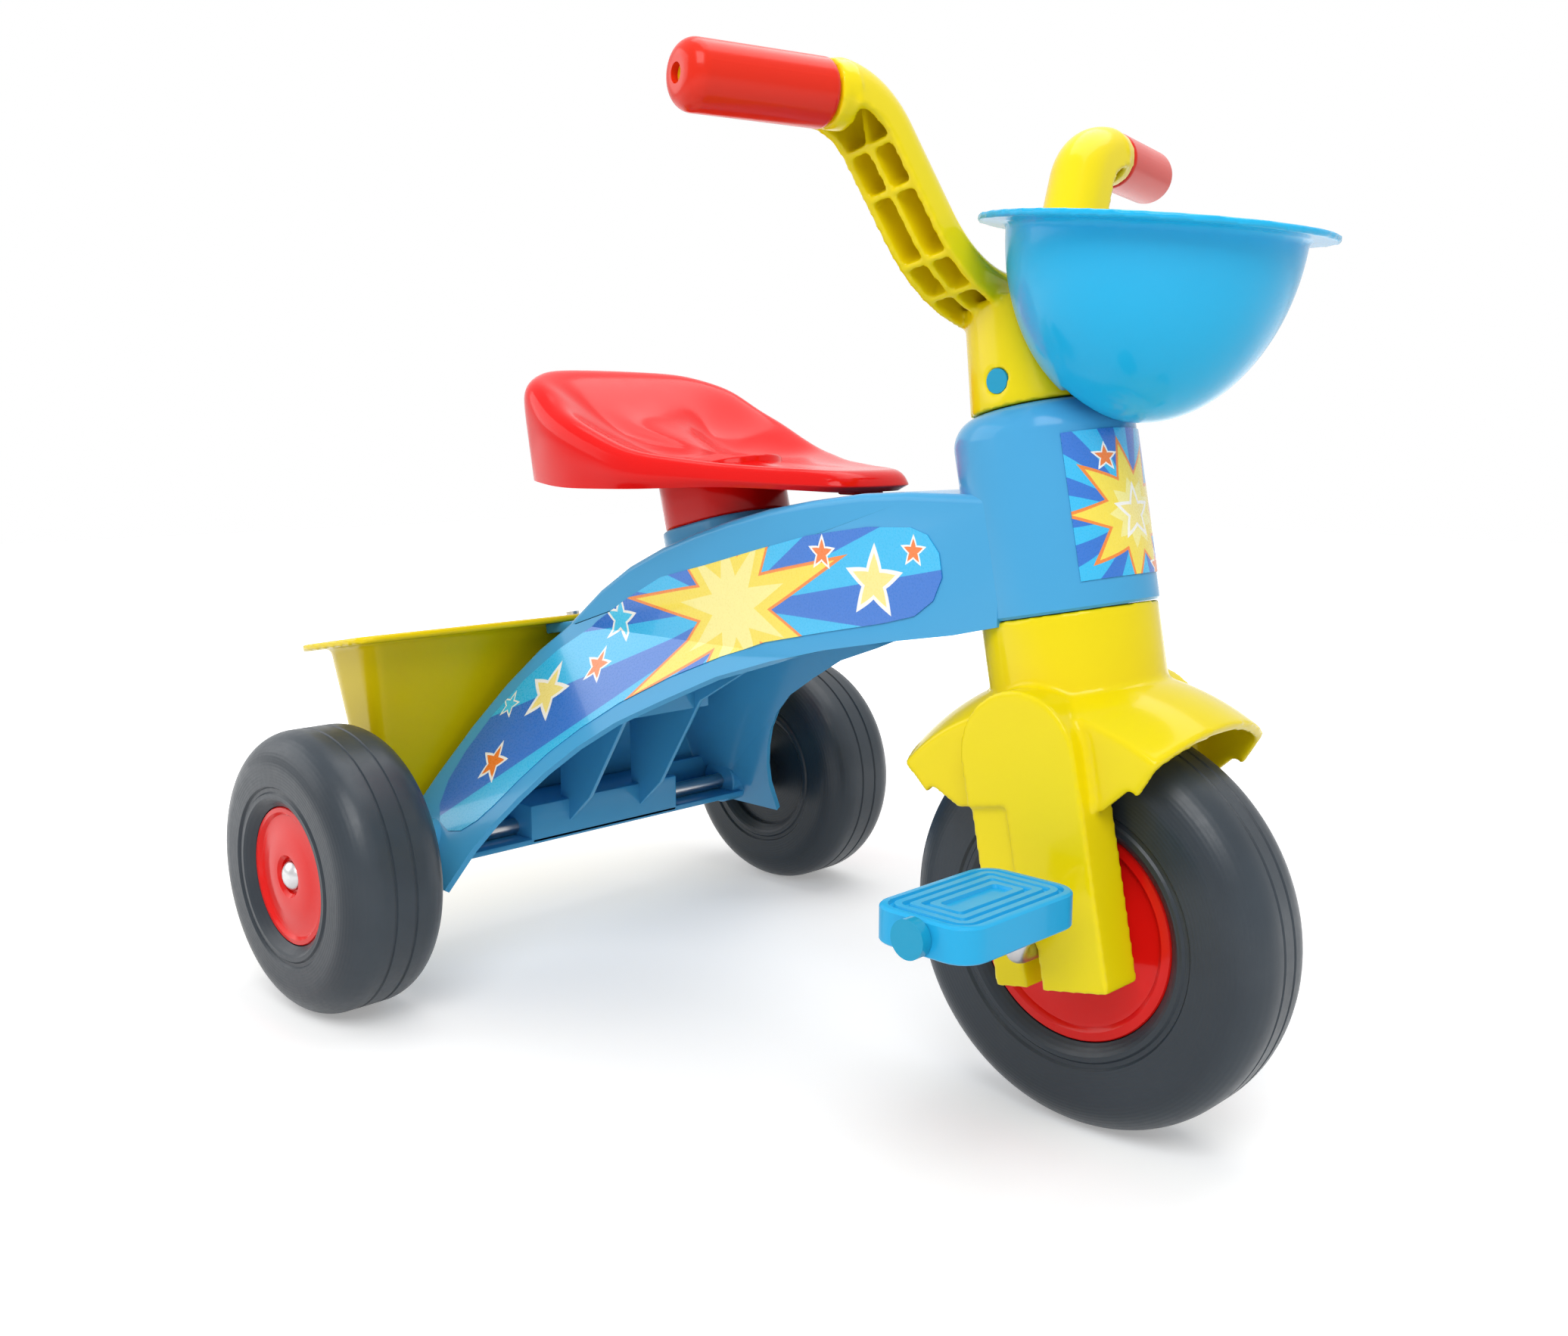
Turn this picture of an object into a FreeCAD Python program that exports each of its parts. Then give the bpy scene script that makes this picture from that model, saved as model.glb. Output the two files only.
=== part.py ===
import FreeCAD, Part
import Sketcher
import math
import os
import re

# A child's ride-on tricycle: a moulded frame, a raked steering column with a fork, handlebar and
# bowl, a pedalled front wheel, two rear wheels on one axle, a seat and a rear tub.
# +X points forward, +Y to the rider's left, +Z up.  The origin is on the floor, under the middle
# of the whole tricycle.  Everything on the column is drawn in the column's own frame, whose Z is
# the steering axis and whose origin is where that axis meets the underside of the head.

document = FreeCAD.newDocument("Tricycle")
sheet = document.addObject("Spreadsheet::Sheet", "Sizes")

SIZES = {
    # overall
    "overall_length": 550.0,
    "overall_width": 420.0,
    "overall_height": 467.0,
    "wall": 3.5,
    "running_gap": 0.3,
    "bore_clearance": 0.06,
    "washer_thickness": 3.0,
    "hub_inset": 2.0,
    # steering column
    "rake": 11.5,
    "head_length": 93.0,
    "head_diameter": 82.0,
    "head_round": 14.0,
    "axle_setback": 8.0,
    "axle_to_head": 143.0,
    "steerer_diameter": 48.0,
    "column_diameter": 80.0,
    "stem_diameter": 63.0,
    "stem_taper": 4.0,
    "stem_top": 142.0,
    "stem_pin_diameter": 11.0,
    "stem_pin_rise": 12.0,
    # wheels and axles
    "front_wheel_diameter": 188.0,
    "front_wheel_width": 52.0,
    "front_hub_diameter": 102.0,
    "rear_wheel_diameter": 157.0,
    "rear_wheel_width": 60.0,
    "rear_hub_diameter": 77.0,
    "tyre_round": 19.0,
    "tyre_recess": 5.0,
    "hub_web": 4.0,
    "hub_boss_diameter": 24.0,
    "axle_diameter": 10.0,
    "cap_diameter": 16.0,
    # fork and mudguard
    "leg_width": 60.0,
    "leg_thickness": 24.0,
    "leg_gap": 62.0,
    "leg_below_axle": 18.0,
    "leg_groove_depth": 2.5,
    "guard_clearance": 10.0,
    "guard_crown": 14.0,
    "guard_width": 92.0,
    "guard_angle": 80.0,
    "guard_lean": 8.5,
    "guard_wall": 4.0,
    # cranks and pedals
    "crank_length": 37.0,
    "crank_angle": 25.5,
    "crank_side": 66.0,
    "pedal_length": 76.0,
    "pedal_width": 50.0,
    "pedal_height": 15.0,
    "pedal_side": 74.0,
    # handlebar
    "bar_width": 30.0,
    "bar_height": 24.0,
    "bar_setback": 10.0,
    "bar_low_radius": 63.0,
    "bar_high_radius": 30.0,
    "bar_slope": 60.0,
    "bar_straight": 41.0,
    "grip_diameter": 28.0,
    "grip_length": 70.0,
    "grip_sweep": 13.6,
    "spigot_diameter": 18.0,
    # bowl
    "bowl_rim_diameter": 149.0,
    "bowl_diameter": 125.0,
    "bowl_depth": 82.0,
    "bowl_height": 402.0,
    "bowl_forward": 198.0,
    "bowl_tilt": 6.0,
    "bowl_wall": 2.5,
    # frame
    "beam_top": 289.0,
    "beam_half_width": 40.0,
    "flare_height": 205.0,
    "foot_height": 63.0,
    "foot_half_width": 133.0,
    "foot_length": 72.0,
    "carrier_rise": 7.0,
    "carrier_height": 24.0,
    "carrier_length": 36.0,
    "rib_wall": 3.0,
    # seat
    "seat_post_length": 77.0,
    "seat_post_width": 56.0,
    "seat_post_middle": -66.0,
    "seat_under": 286.0,
    "seat_slope": 13.4,
    "seat_front": 49.0,
    "seat_back": -172.0,
    # tub
    "tub_front": -181.0,
    "tub_rim_height": 207.0,
    "tub_tilt": 9.5,
    "tub_rim_length": 92.0,
    "tub_rim_width": 330.0,
    "tub_flange": 13.0,
    "tub_depth": 112.0,
    "tub_wall": 2.5,
    "tub_rim_thickness": 4.0,
    "tub_ledge": 18.0,
    "tub_taper": 30.0,
    "tub_shelf_width": 60.0,
    "screw_diameter": 4.0,
}

for row, (alias, value) in enumerate(SIZES.items(), start=1):
    sheet.set("A%d" % row, alias)
    sheet.set("B%d" % row, str(value))
    sheet.setAlias("B%d" % row, alias)
document.recompute()


def number(expression):
    """The value of an expression over the sheet, in millimetres or degrees."""
    if isinstance(expression, (int, float)):
        return float(expression)
    value = sheet.evalExpression(str(expression))
    return float(getattr(value, "Value", value))


def bound(expression):
    """The same expression with each size written as a reference to its cell."""
    return re.sub("[a-z_]+", lambda word: "Sizes." + word[0] if word[0] in SIZES else word[0],
                  str(expression))


# ------------------------------------------------------------------------------------ small tools

VECTOR = FreeCAD.Vector
X_AXIS, Y_AXIS, Z_AXIS = VECTOR(1, 0, 0), VECTOR(0, 1, 0), VECTOR(0, 0, 1)
SIDES = {"left": 1, "right": -1}
BOWL_SCREWS = {"low": 20.0, "high": 34.0}
nodes = []


def place(x=0.0, y=0.0, z=0.0, axis=Z_AXIS, angle=0.0):
    """A placement from a point and one turn."""
    return FreeCAD.Placement(VECTOR(number(x), number(y), number(z)),
                             FreeCAD.Rotation(axis, number(angle)))


def node(item, label, placement=None):
    """Name a finished sub-part and put it in its place."""
    item.Label = label
    if placement is not None:
        item.Placement = placement
    nodes.append(item)
    return item


def bind(item, **sizes):
    for name, expression in sizes.items():
        item.setExpression(name, bound(expression))
    return item


def cylinder(radius, height, placement=FreeCAD.Placement()):
    item = document.addObject("Part::Cylinder", "Cylinder")
    bind(item, Radius=radius, Height=height)
    item.Placement = placement
    return item


def box(length, width, height, placement=FreeCAD.Placement()):
    """A box centred on its placement in X and Y, standing on it in Z."""
    item = document.addObject("Part::Box", "Box")
    bind(item, Length=length, Width=width, Height=height)
    item.Placement = placement.multiply(place("-(%s) / 2" % length, "-(%s) / 2" % width, 0))
    return item


def fuse(*items):
    item = document.addObject("Part::MultiFuse", "Fuse")
    item.Shapes = list(items)
    return item


def cut(base, *tools):
    item = document.addObject("Part::Cut", "Cut")
    item.Base = base
    item.Tool = tools[0] if len(tools) == 1 else fuse(*tools)
    return item


def common(first, second):
    item = document.addObject("Part::Common", "Common")
    item.Base = first
    item.Tool = second
    return item


def body(placement=FreeCAD.Placement()):
    item = document.addObject("PartDesign::Body", "Body")
    item.Placement = placement
    return item


def sketch(owner, role, offset=0.0):
    """A sketch on one of the body's own origin planes, moved along the plane's normal."""
    plane = next(item for item in owner.Origin.OriginFeatures if item.Role == role)
    item = owner.newObject("Sketcher::SketchObject", "Sketch")
    item.AttachmentSupport = [(plane, "")]
    item.MapMode = "FlatFace"
    item.AttachmentOffset = place(0, 0, offset)
    return item


def outline(item, corners, closed=True):
    """Draw an outline through its corners and tie each corner to the sheet.

    A corner is (across, up) or (across, up, radius): the radius makes the side that arrives at it
    an arc, turning left when it is positive and right when it is negative.
    """
    points = [VECTOR(number(corner[0]), number(corner[1]), 0) for corner in corners]
    joined = None
    first = None
    start = 0 if closed else 1
    for index in range(start, len(corners)):
        tail, head = points[index - 1], points[index]
        ends = (1, 2)
        if len(corners[index]) == 2:
            side = item.addGeometry(Part.LineSegment(tail, head))
        else:
            radius = number(corners[index][2])
            left = Z_AXIS.cross(head - tail).normalize() * math.copysign(1, radius)
            reach = math.sqrt(max(radius ** 2 - ((head - tail).Length / 2) ** 2, 0.0))
            centre = (tail + head) / 2 + left * reach
            turn = [math.atan2(point.y - centre.y, point.x - centre.x) for point in (tail, head)]
            if radius < 0:
                turn.reverse()
                ends = (2, 1)
            circle = Part.Circle(centre, Z_AXIS, abs(radius))
            side = item.addGeometry(Part.ArcOfCircle(circle, turn[0], turn[1]))
            if reach > 0.001:
                rule = item.addConstraint(Sketcher.Constraint("Radius", side, abs(radius)))
                item.setExpression("Constraints[%d]" % rule, bound("abs(%s)" % corners[index][2]))
            else:
                # the radius of a half circle follows from its ends
                item.addConstraint(Sketcher.Constraint("Symmetric", side, 1, side, 2, side, 3))
        if joined is not None:
            item.addConstraint(Sketcher.Constraint("Coincident", joined[0], joined[1], side, ends[0]))
        else:
            first = (side, ends[0])
        joined = (side, ends[1])
        tie(item, side, ends[1], corners[index])
    if closed:
        item.addConstraint(Sketcher.Constraint("Coincident", joined[0], joined[1], first[0], first[1]))
    else:
        tie(item, first[0], first[1], corners[0])
    return item


def tie(item, side, end, corner):
    """Hold one end of a side at its corner."""
    for kind, expression in (("DistanceX", corner[0]), ("DistanceY", corner[1])):
        rule = item.addConstraint(Sketcher.Constraint(kind, -1, 1, side, end, number(expression)))
        if not isinstance(expression, (int, float)):
            item.setExpression("Constraints[%d]" % rule, bound(expression))


def circle(item, across, up, radius):
    """A circle tied to the sheet."""
    side = item.addGeometry(Part.Circle(VECTOR(number(across), number(up), 0), Z_AXIS, number(radius)))
    rule = item.addConstraint(Sketcher.Constraint("Radius", side, number(radius)))
    item.setExpression("Constraints[%d]" % rule, bound(radius))
    tie(item, side, 3, (across, up))
    return item


def pad(owner, profile, length, both_ways=False):
    item = owner.newObject("PartDesign::Pad", "Pad")
    item.Profile = profile
    item.setExpression("Length", bound(length))
    item.SideType = "Symmetric" if both_ways else "One side"
    return item


def revolve(owner, profile, angle=360.0, both_ways=False):
    """Turn a profile about its own vertical axis."""
    item = owner.newObject("PartDesign::Revolution", "Revolution")
    item.Profile = profile
    item.ReferenceAxis = (profile, ["V_Axis"])
    item.setExpression("Angle", bound(angle))
    item.Midplane = both_ways
    return item


def turned(corners, placement=FreeCAD.Placement()):
    """A body turned about Z from (radius, height) corners."""
    owner = body(placement)
    revolve(owner, outline(sketch(owner, "XZ_Plane"), corners))
    return owner


def pipe(owner, profile, path):
    item = owner.newObject("PartDesign::AdditivePipe", "Pipe")
    item.Profile = profile
    item.Spine = path
    return item


# ---------------------------------------------------------------- places that follow from the sizes

front_axle = VECTOR(number("overall_length / 2 - front_wheel_diameter / 2"), 0,
                    number("front_wheel_diameter / 2"))
rear_axle = VECTOR(number("rear_wheel_diameter / 2 - overall_length / 2"), 0,
                   number("rear_wheel_diameter / 2"))
lean = FreeCAD.Rotation(Y_AXIS, -number("rake"))
head_foot = front_axle - lean.multVec(VECTOR(-number("axle_setback"), 0, -number("axle_to_head")))
column = FreeCAD.Placement(head_foot, lean)
front_wheel_turn = FreeCAD.Placement(front_axle, FreeCAD.Rotation(X_AXIS, -90))
rear_wheel_middle = number("overall_width / 2 - rear_wheel_width / 2")
washer_start = number("overall_width / 2 - rear_wheel_width + hub_inset - running_gap"
                      " - washer_thickness")
grip_height = number("overall_height - grip_diameter / 2")
leg_outside = number("leg_gap / 2 + leg_thickness")


def on_axle(axle, side, distance):
    """A placement on an axle whose Z points out of the tricycle on that side."""
    return FreeCAD.Placement(axle + VECTOR(0, SIDES[side] * distance, 0),
                             FreeCAD.Rotation(X_AXIS, -90 * SIDES[side]))


# ------------------------------------------------------------------------------------ rear wheels

def rear_wheel(side):
    half = "rear_wheel_width / 2"
    bore = "axle_diameter / 2 + bore_clearance"
    boss = "hub_boss_diameter / 2"
    seat = "rear_hub_diameter / 2"
    shoulder = "rear_wheel_diameter / 2 - tyre_round"
    tread = "rear_wheel_diameter / 2"
    tyre = turned([
        (bore, "hub_inset - " + half),
        (boss, "hub_inset - " + half),
        (boss, "8 - " + half),
        (seat, "8 - " + half),
        (seat + " + 6", "-" + half),
        (shoulder, "-" + half),
        (tread, "tyre_round - " + half, "tyre_round"),
        (tread, half + " - tyre_round"),
        (shoulder, half, "tyre_round"),
        (seat + " + 5", half),
        (seat, half + " - tyre_recess"),
        (seat, "8 + hub_web - " + half),
        (boss, "8 + hub_web - " + half),
        (boss, 0),
        (bore, 0),
    ])
    node(tyre, "rear_tyre_" + side, on_axle(rear_axle, side, rear_wheel_middle))
    hub = turned([
        (bore, "running_gap"),
        (boss, "running_gap"),
        (boss, half + " - tyre_recess - hub_web - 3"),
        (seat + " - running_gap", half + " - tyre_recess - hub_web"),
        (seat + " - running_gap", half + " - tyre_recess"),
        ("cap_diameter / 2 + 4", half + " - tyre_recess + 1", "4 * rear_hub_diameter"),
        ("cap_diameter / 2 + 1.5", half + " - tyre_recess - 3"),
        (bore, half + " - tyre_recess - 3"),
    ])
    node(hub, "rear_hub_" + side, on_axle(rear_axle, side, rear_wheel_middle))


def rear_axle_set():
    reach = "overall_width / 2 - tyre_recess - 3"
    rod = cylinder("axle_diameter / 2", "2 * (%s)" % reach,
                   on_axle(rear_axle, "left", -number(reach)))
    node(rod, "rear_axle")
    for side in SIDES:
        dome = turned([
            (0, "running_gap"),
            ("cap_diameter / 2", "running_gap"),
            ("cap_diameter / 2", "running_gap + 1.5"),
            (2, "running_gap + 5.3", "cap_diameter / 2"),
            (0, "running_gap + 5.3"),
        ])
        node(dome, "rear_axle_cap_" + side,
             on_axle(rear_axle, side, number(reach)))
        washer = cut(cylinder("hub_boss_diameter / 2 - 2", "washer_thickness"),
                     cylinder("axle_diameter / 2", "washer_thickness"))
        node(washer, "rear_washer_" + side, on_axle(rear_axle, side, washer_start))


# ------------------------------------------------------------------------------------ front wheel

def front_wheel():
    half = "front_wheel_width / 2"
    seat = "front_hub_diameter / 2"
    shoulder = "front_wheel_diameter / 2 - tyre_round"
    tread = "front_wheel_diameter / 2"
    tyre = turned([
        (seat, "tyre_recess - " + half),
        (seat + " + 5", "-" + half),
        (shoulder, "-" + half),
        (tread, "tyre_round - " + half, "tyre_round"),
        (tread, half + " - tyre_round"),
        (shoulder, half, "tyre_round"),
        (seat + " + 5", half),
        (seat, half + " - tyre_recess"),
    ], front_wheel_turn)
    node(tyre, "front_tyre")
    for side in SIDES:
        bore = "axle_diameter / 2 + bore_clearance"
        boss = "hub_boss_diameter / 2"
        hub = turned([
            (bore, "running_gap / 2"),
            (seat + " - running_gap", "running_gap / 2"),
            (seat + " - running_gap", half + " - tyre_recess"),
            (boss, half + " - 1", "2 * front_hub_diameter"),
            (boss + " - 3", "leg_gap / 2 - running_gap"),
            (bore, "leg_gap / 2 - running_gap"),
        ])
        node(hub, "front_hub_" + side, on_axle(front_axle, side, 0))


def crank_and_pedals():
    tilt = FreeCAD.Rotation(Y_AXIS, number("crank_angle"))
    crank = body(FreeCAD.Placement(front_axle, tilt))
    bend = "0.8 * axle_diameter"
    side = "crank_side"
    arm = "crank_length"
    end = "pedal_side + pedal_length + 2 * running_gap + 3.5"
    path = outline(sketch(crank, "YZ_Plane"), [
        ("-(%s)" % end, arm),
        ("-%s - %s" % (side, bend), arm),
        ("-" + side, "%s - %s" % (arm, bend), "-" + bend),
        ("-" + side, bend),
        ("%s - %s" % (bend, side), 0, bend),
        ("%s - %s" % (side, bend), 0),
        (side, "-(%s)" % bend, "-" + bend),
        (side, "%s - %s" % (bend, arm)),
        ("%s + %s" % (side, bend), "-" + arm, bend),
        (end, "-" + arm),
    ], closed=False)
    profile = circle(sketch(crank, "XZ_Plane", end), 0, arm, "axle_diameter / 2")
    pipe(crank, profile, path)
    node(crank, "crank")

    for name, sign in SIDES.items():
        pin = front_axle + tilt.multVec(VECTOR(0, 0, -sign * number("crank_length")))
        blank = body()
        half_length, half_width, corner = "pedal_length / 2", "pedal_width / 2", "12"
        frame = [
            (half_length, corner + " - " + half_width),
            (half_length, half_width + " - " + corner),
            (half_length + " - " + corner, half_width, corner),
            (corner + " - " + half_length, half_width),
            ("-" + half_length, half_width + " - " + corner, corner),
            ("-" + half_length, corner + " - " + half_width),
            (corner + " - " + half_length, "-" + half_width, corner),
            (half_length + " - " + corner, "-" + half_width),
        ]
        frame[0] += (corner,)
        pad(blank, outline(sketch(blank, "XY_Plane"), frame), "pedal_height", True)
        middle = number("pedal_side + running_gap + pedal_length / 2")
        blank.Placement = FreeCAD.Placement(VECTOR(pin.x, sign * middle, pin.z),
                                            FreeCAD.Rotation(Z_AXIS, 90))
        hole = cylinder("axle_diameter / 2 + bore_clearance", "2 * pedal_length",
                        on_axle(VECTOR(pin.x, 0, pin.z), name, 1))
        node(cut(blank, hole), "pedal_" + name)
        outside = "pedal_side + pedal_length + 2 * running_gap"
        cap = cut(cylinder("axle_diameter / 2 + 3", "5"), cylinder("axle_diameter / 2", "3.5"))
        node(cap, "pedal_cap_" + name,
             on_axle(VECTOR(pin.x, 0, pin.z), name, number(outside)))


# ------------------------------------------------------------------------------------ fork

def mudguard():
    """A crowned shell over the front wheel with a deep lip on both sides."""
    inner = "front_wheel_diameter / 2 + guard_clearance - 3"
    edge = "guard_width / 2"
    guard_turn = FreeCAD.Rotation(Y_AXIS, -number("guard_lean"))
    shell = body(FreeCAD.Placement(front_axle, guard_turn.multiply(
        FreeCAD.Rotation(X_AXIS, -90)).multiply(FreeCAD.Rotation(Z_AXIS, -90))))
    crown_radius = "((guard_width / 2) ^ 2 + guard_crown ^ 2) / (2 * guard_crown)"
    inside_radius = ("((guard_width / 2 - guard_wall) ^ 2 + (guard_crown - 2) ^ 2)"
                     " / (2 * (guard_crown - 2))")
    profile = outline(sketch(shell, "XZ_Plane"), [
        (inner + " - 14", "-" + edge),
        (inner + " + 3", "-" + edge),
        (inner + " + 3", edge, crown_radius),
        (inner + " - 14", edge),
        (inner + " - 14", edge + " - guard_wall"),
        (inner, edge + " - guard_wall"),
        (inner, "guard_wall - " + edge, "-(%s)" % inside_radius),
        (inner + " - 14", "guard_wall - " + edge),
    ])
    revolve(shell, profile, "guard_angle", True)
    cheeks = []
    for sign in SIDES.values():
        cheek = body(FreeCAD.Placement(
            front_axle + VECTOR(0, sign * number("guard_width / 2 - guard_wall / 2"), 0),
            guard_turn))
        rim = number(inner + " + 1")
        half_angle = math.radians(number("guard_angle / 2"))
        across, up = rim * math.sin(half_angle), rim * math.cos(half_angle)
        pad(cheek, outline(sketch(cheek, "XZ_Plane"), [
            (-across, up, inner + " + 1"),
            ("-leg_width / 2 - 8", "60"),
            ("leg_width / 2 + 8", "60"),
            (across, up),
        ]), "guard_wall", True)
        cheeks.append(cheek)
    return [shell] + cheeks


def fork():
    below = "axle_to_head + leg_below_axle"
    half = "leg_width / 2"
    solids = [
        cylinder("column_diameter / 2", "80 - running_gap", column.multiply(place(z=-80))),
        cylinder("steerer_diameter / 2", "stem_top - 12 + 10", column.multiply(place(z=-10))),
    ]
    solids += mudguard()
    slots = [cylinder("front_wheel_diameter / 2 + guard_clearance - 4", "leg_gap",
                      on_axle(front_axle, "left", -number("leg_gap / 2")))]
    for sign in SIDES.values():
        middle = sign * number("leg_gap / 2 + leg_thickness / 2")
        leg = body(column.multiply(place(0, middle, 0)))
        pad(leg, outline(sketch(leg, "XZ_Plane"), [
            ("-" + half, "-(%s)" % below),
            (half, "-(%s)" % below),
            (half, "-30 - " + half),
            ("-" + half, "-30 - " + half, half),
        ]), "leg_thickness", True)
        solids.append(leg)
        groove = box("leg_width / 2 - 6", "2 * leg_groove_depth", below + " - 80",
                     column.multiply(place("-leg_width / 4 - 6", sign * leg_outside, "-(%s)" % below)))
        slot_foot = place("-axle_setback", middle, "-(%s) - 1" % below)
        slot = box("axle_diameter + 2 * bore_clearance", "leg_thickness + 2",
                   "leg_below_axle + 1", column.multiply(slot_foot))
        slots += [groove, slot]
    slots.append(cylinder("axle_diameter / 2 + bore_clearance", 2 * leg_outside + 4,
                          on_axle(front_axle, "left", -leg_outside - 2)))
    slots.append(stem_pin_hole())
    node(cut(fuse(*solids), *slots), "fork")
    for name, sign in SIDES.items():
        keeper_height = "leg_below_axle - axle_diameter / 2 - running_gap - 6"
        keeper = box("axle_diameter", "5", keeper_height,
                     column.multiply(place("-axle_setback", sign * number("leg_gap / 2 + 6"),
                                           "6 - (%s)" % below)))
        node(keeper, "axle_keeper_" + name)


def stem_pin_hole():
    """The cross hole through the stem and the steerer."""
    rise = number("head_length + stem_pin_rise")
    start = column.multiply(FreeCAD.Placement(VECTOR(0, -number("stem_diameter / 2") - 2, rise),
                                              FreeCAD.Rotation(X_AXIS, -90)))
    return cylinder("stem_pin_diameter / 2 + bore_clearance", "stem_diameter + 4", start)


def stem_cone(margin, low, high):
    """The handlebar's tapered stem, grown by a margin, between two heights above the head."""
    slope = "stem_taper / (stem_top - head_length)"
    cone = document.addObject("Part::Cone", "Cone")
    bind(cone, Radius1="stem_diameter / 2 + %s - (%s) * %s" % (margin, low, slope),
         Radius2="stem_diameter / 2 + %s - (%s) * %s" % (margin, high, slope),
         Height="%s - (%s)" % (high, low))
    cone.Placement = column.multiply(place(z="head_length + " + low))
    return cone


# ------------------------------------------------------------------------------------ handlebar

def bar_path():
    """The ends of half the bar's three stretches, as (across, up) from its lowest point."""
    slope = math.radians(number("bar_slope"))
    low, high, run = number("bar_low_radius"), number("bar_high_radius"), number("bar_straight")
    first = (low * math.sin(slope), low * (1 - math.cos(slope)))
    second = (first[0] + run * math.cos(slope), first[1] + run * math.sin(slope))
    third = (second[0] + high * math.sin(slope), second[1] + high * (1 - math.cos(slope)))
    return first, second, third


def bar_start():
    """The bar's lowest point on the column, so that its ends meet the grips at their height."""
    end = column.multVec(VECTOR(-number("bar_setback"), 0, bar_path()[2][1]))
    return (grip_height - end.z) / math.cos(math.radians(number("rake")))


def bar_sweep(half_width, below, start_height):
    """The bar's section, a half round on two straight walls, along the whole bar."""
    first, second, third = bar_path()
    owner = body(column.multiply(place("-bar_setback", 0, start_height)))
    corners = [(-third[0], third[1]), (-second[0], second[1], "-bar_high_radius"),
               (-first[0], first[1]), (first[0], first[1], "bar_low_radius"),
               (second[0], second[1]), (third[0], third[1], "-bar_high_radius")]
    path = outline(sketch(owner, "YZ_Plane"), corners, closed=False)
    level = third[1]
    profile = outline(sketch(owner, "XZ_Plane", third[0]), [
        ("-" + half_width, "%.4f - %s" % (level, below)),
        (half_width, "%.4f - %s" % (level, below)),
        (half_width, level),
        ("-" + half_width, level, half_width),
    ])
    pipe(owner, profile, path)
    return owner


def grip_frame(sign):
    """The grip's own frame: its Z runs out along the grip."""
    sweep = math.radians(number("grip_sweep"))
    out = VECTOR(-math.sin(sweep), sign * math.cos(sweep), 0)
    across, up = bar_path()[2]
    root = column.multVec(VECTOR(-number("bar_setback"), sign * (across + 4), bar_start() + up))
    root.z = grip_height
    return FreeCAD.Placement(root, FreeCAD.Rotation(Z_AXIS, out))


def handlebar():
    start = bar_start()
    outside = bar_sweep("bar_width / 2", "(bar_height - bar_width / 2)", start)
    inside = bar_sweep("(bar_width / 2 - wall)", "(bar_height - bar_width / 2 + 1)", start)
    ribs = []
    for sign in SIDES.values():
        for along, up, angle in rib_places():
            ribs.append(box("bar_width", "rib_wall", "2 * bar_height", column.multiply(
                FreeCAD.Placement(VECTOR(-number("bar_setback"), sign * along, start + up),
                                  FreeCAD.Rotation(X_AXIS, sign * angle)).multiply(
                                      place(z="-bar_height")))))
    ribs.append(box("rib_wall", "2 * bar_low_radius + 40", "bar_height + 110",
                    column.multiply(place("-bar_setback", 0, start - 20))))
    hollow = cut(inside, fuse(*ribs))
    bar = cut(outside, hollow)
    stem = stem_cone("0", "running_gap", "stem_top - head_length")
    bore = cylinder("steerer_diameter / 2 + bore_clearance", "stem_top - 12 + 0.1", column)
    spigots = []
    for sign in SIDES.values():
        frame = grip_frame(sign)
        spigots.append(cylinder("spigot_diameter / 2", "grip_length + 2",
                                frame.multiply(place(z=-6))))
        spigots.append(cylinder("bar_width / 2 - 1", "9", frame.multiply(place(z=-9))))
    holes = [bore, stem_pin_hole()]
    for rise in BOWL_SCREWS.values():
        holes.append(bowl_screw_shank(rise))
    node(cut(fuse(bar, stem, *spigots), *holes), "handlebar")


def rib_places():
    """Where the cross ribs stand along half the bar, and how they lean."""
    low = number("bar_low_radius")
    places = []
    for angle in (34, 50):
        turn = math.radians(angle)
        places.append((low * math.sin(turn), low * (1 - math.cos(turn)), angle))
    first, second, third = bar_path()
    slope = number("bar_slope")
    middle = ((first[0] + second[0]) / 2, (first[1] + second[1]) / 2)
    places.append((middle[0], middle[1], slope))
    places.append((second[0], second[1], slope))
    return places


def grips():
    for name, sign in SIDES.items():
        radius = "grip_diameter / 2"
        bore = "spigot_diameter / 2 + bore_clearance"
        grip = turned([
            (bore, "running_gap"),
            (radius + " - 3", "running_gap"),
            (radius, "running_gap + 3", "3"),
            (radius, "grip_length - 9"),
            (radius + " - 8", "grip_length - 1", "8"),
            ("4", "grip_length - 1"),
            ("4", "grip_length - 4"),
            (bore, "grip_length - 4"),
        ], grip_frame(sign))
        node(grip, "grip_" + name)


def stem_pin():
    rise = number("head_length + stem_pin_rise")
    inset = number("stem_diameter / 2") - 1.5
    start = column.multiply(FreeCAD.Placement(VECTOR(0, -inset, rise),
                                              FreeCAD.Rotation(X_AXIS, -90)))
    node(cylinder("stem_pin_diameter / 2", 2 * inset, start), "stem_pin")


# ------------------------------------------------------------------------------------ bowl

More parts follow.
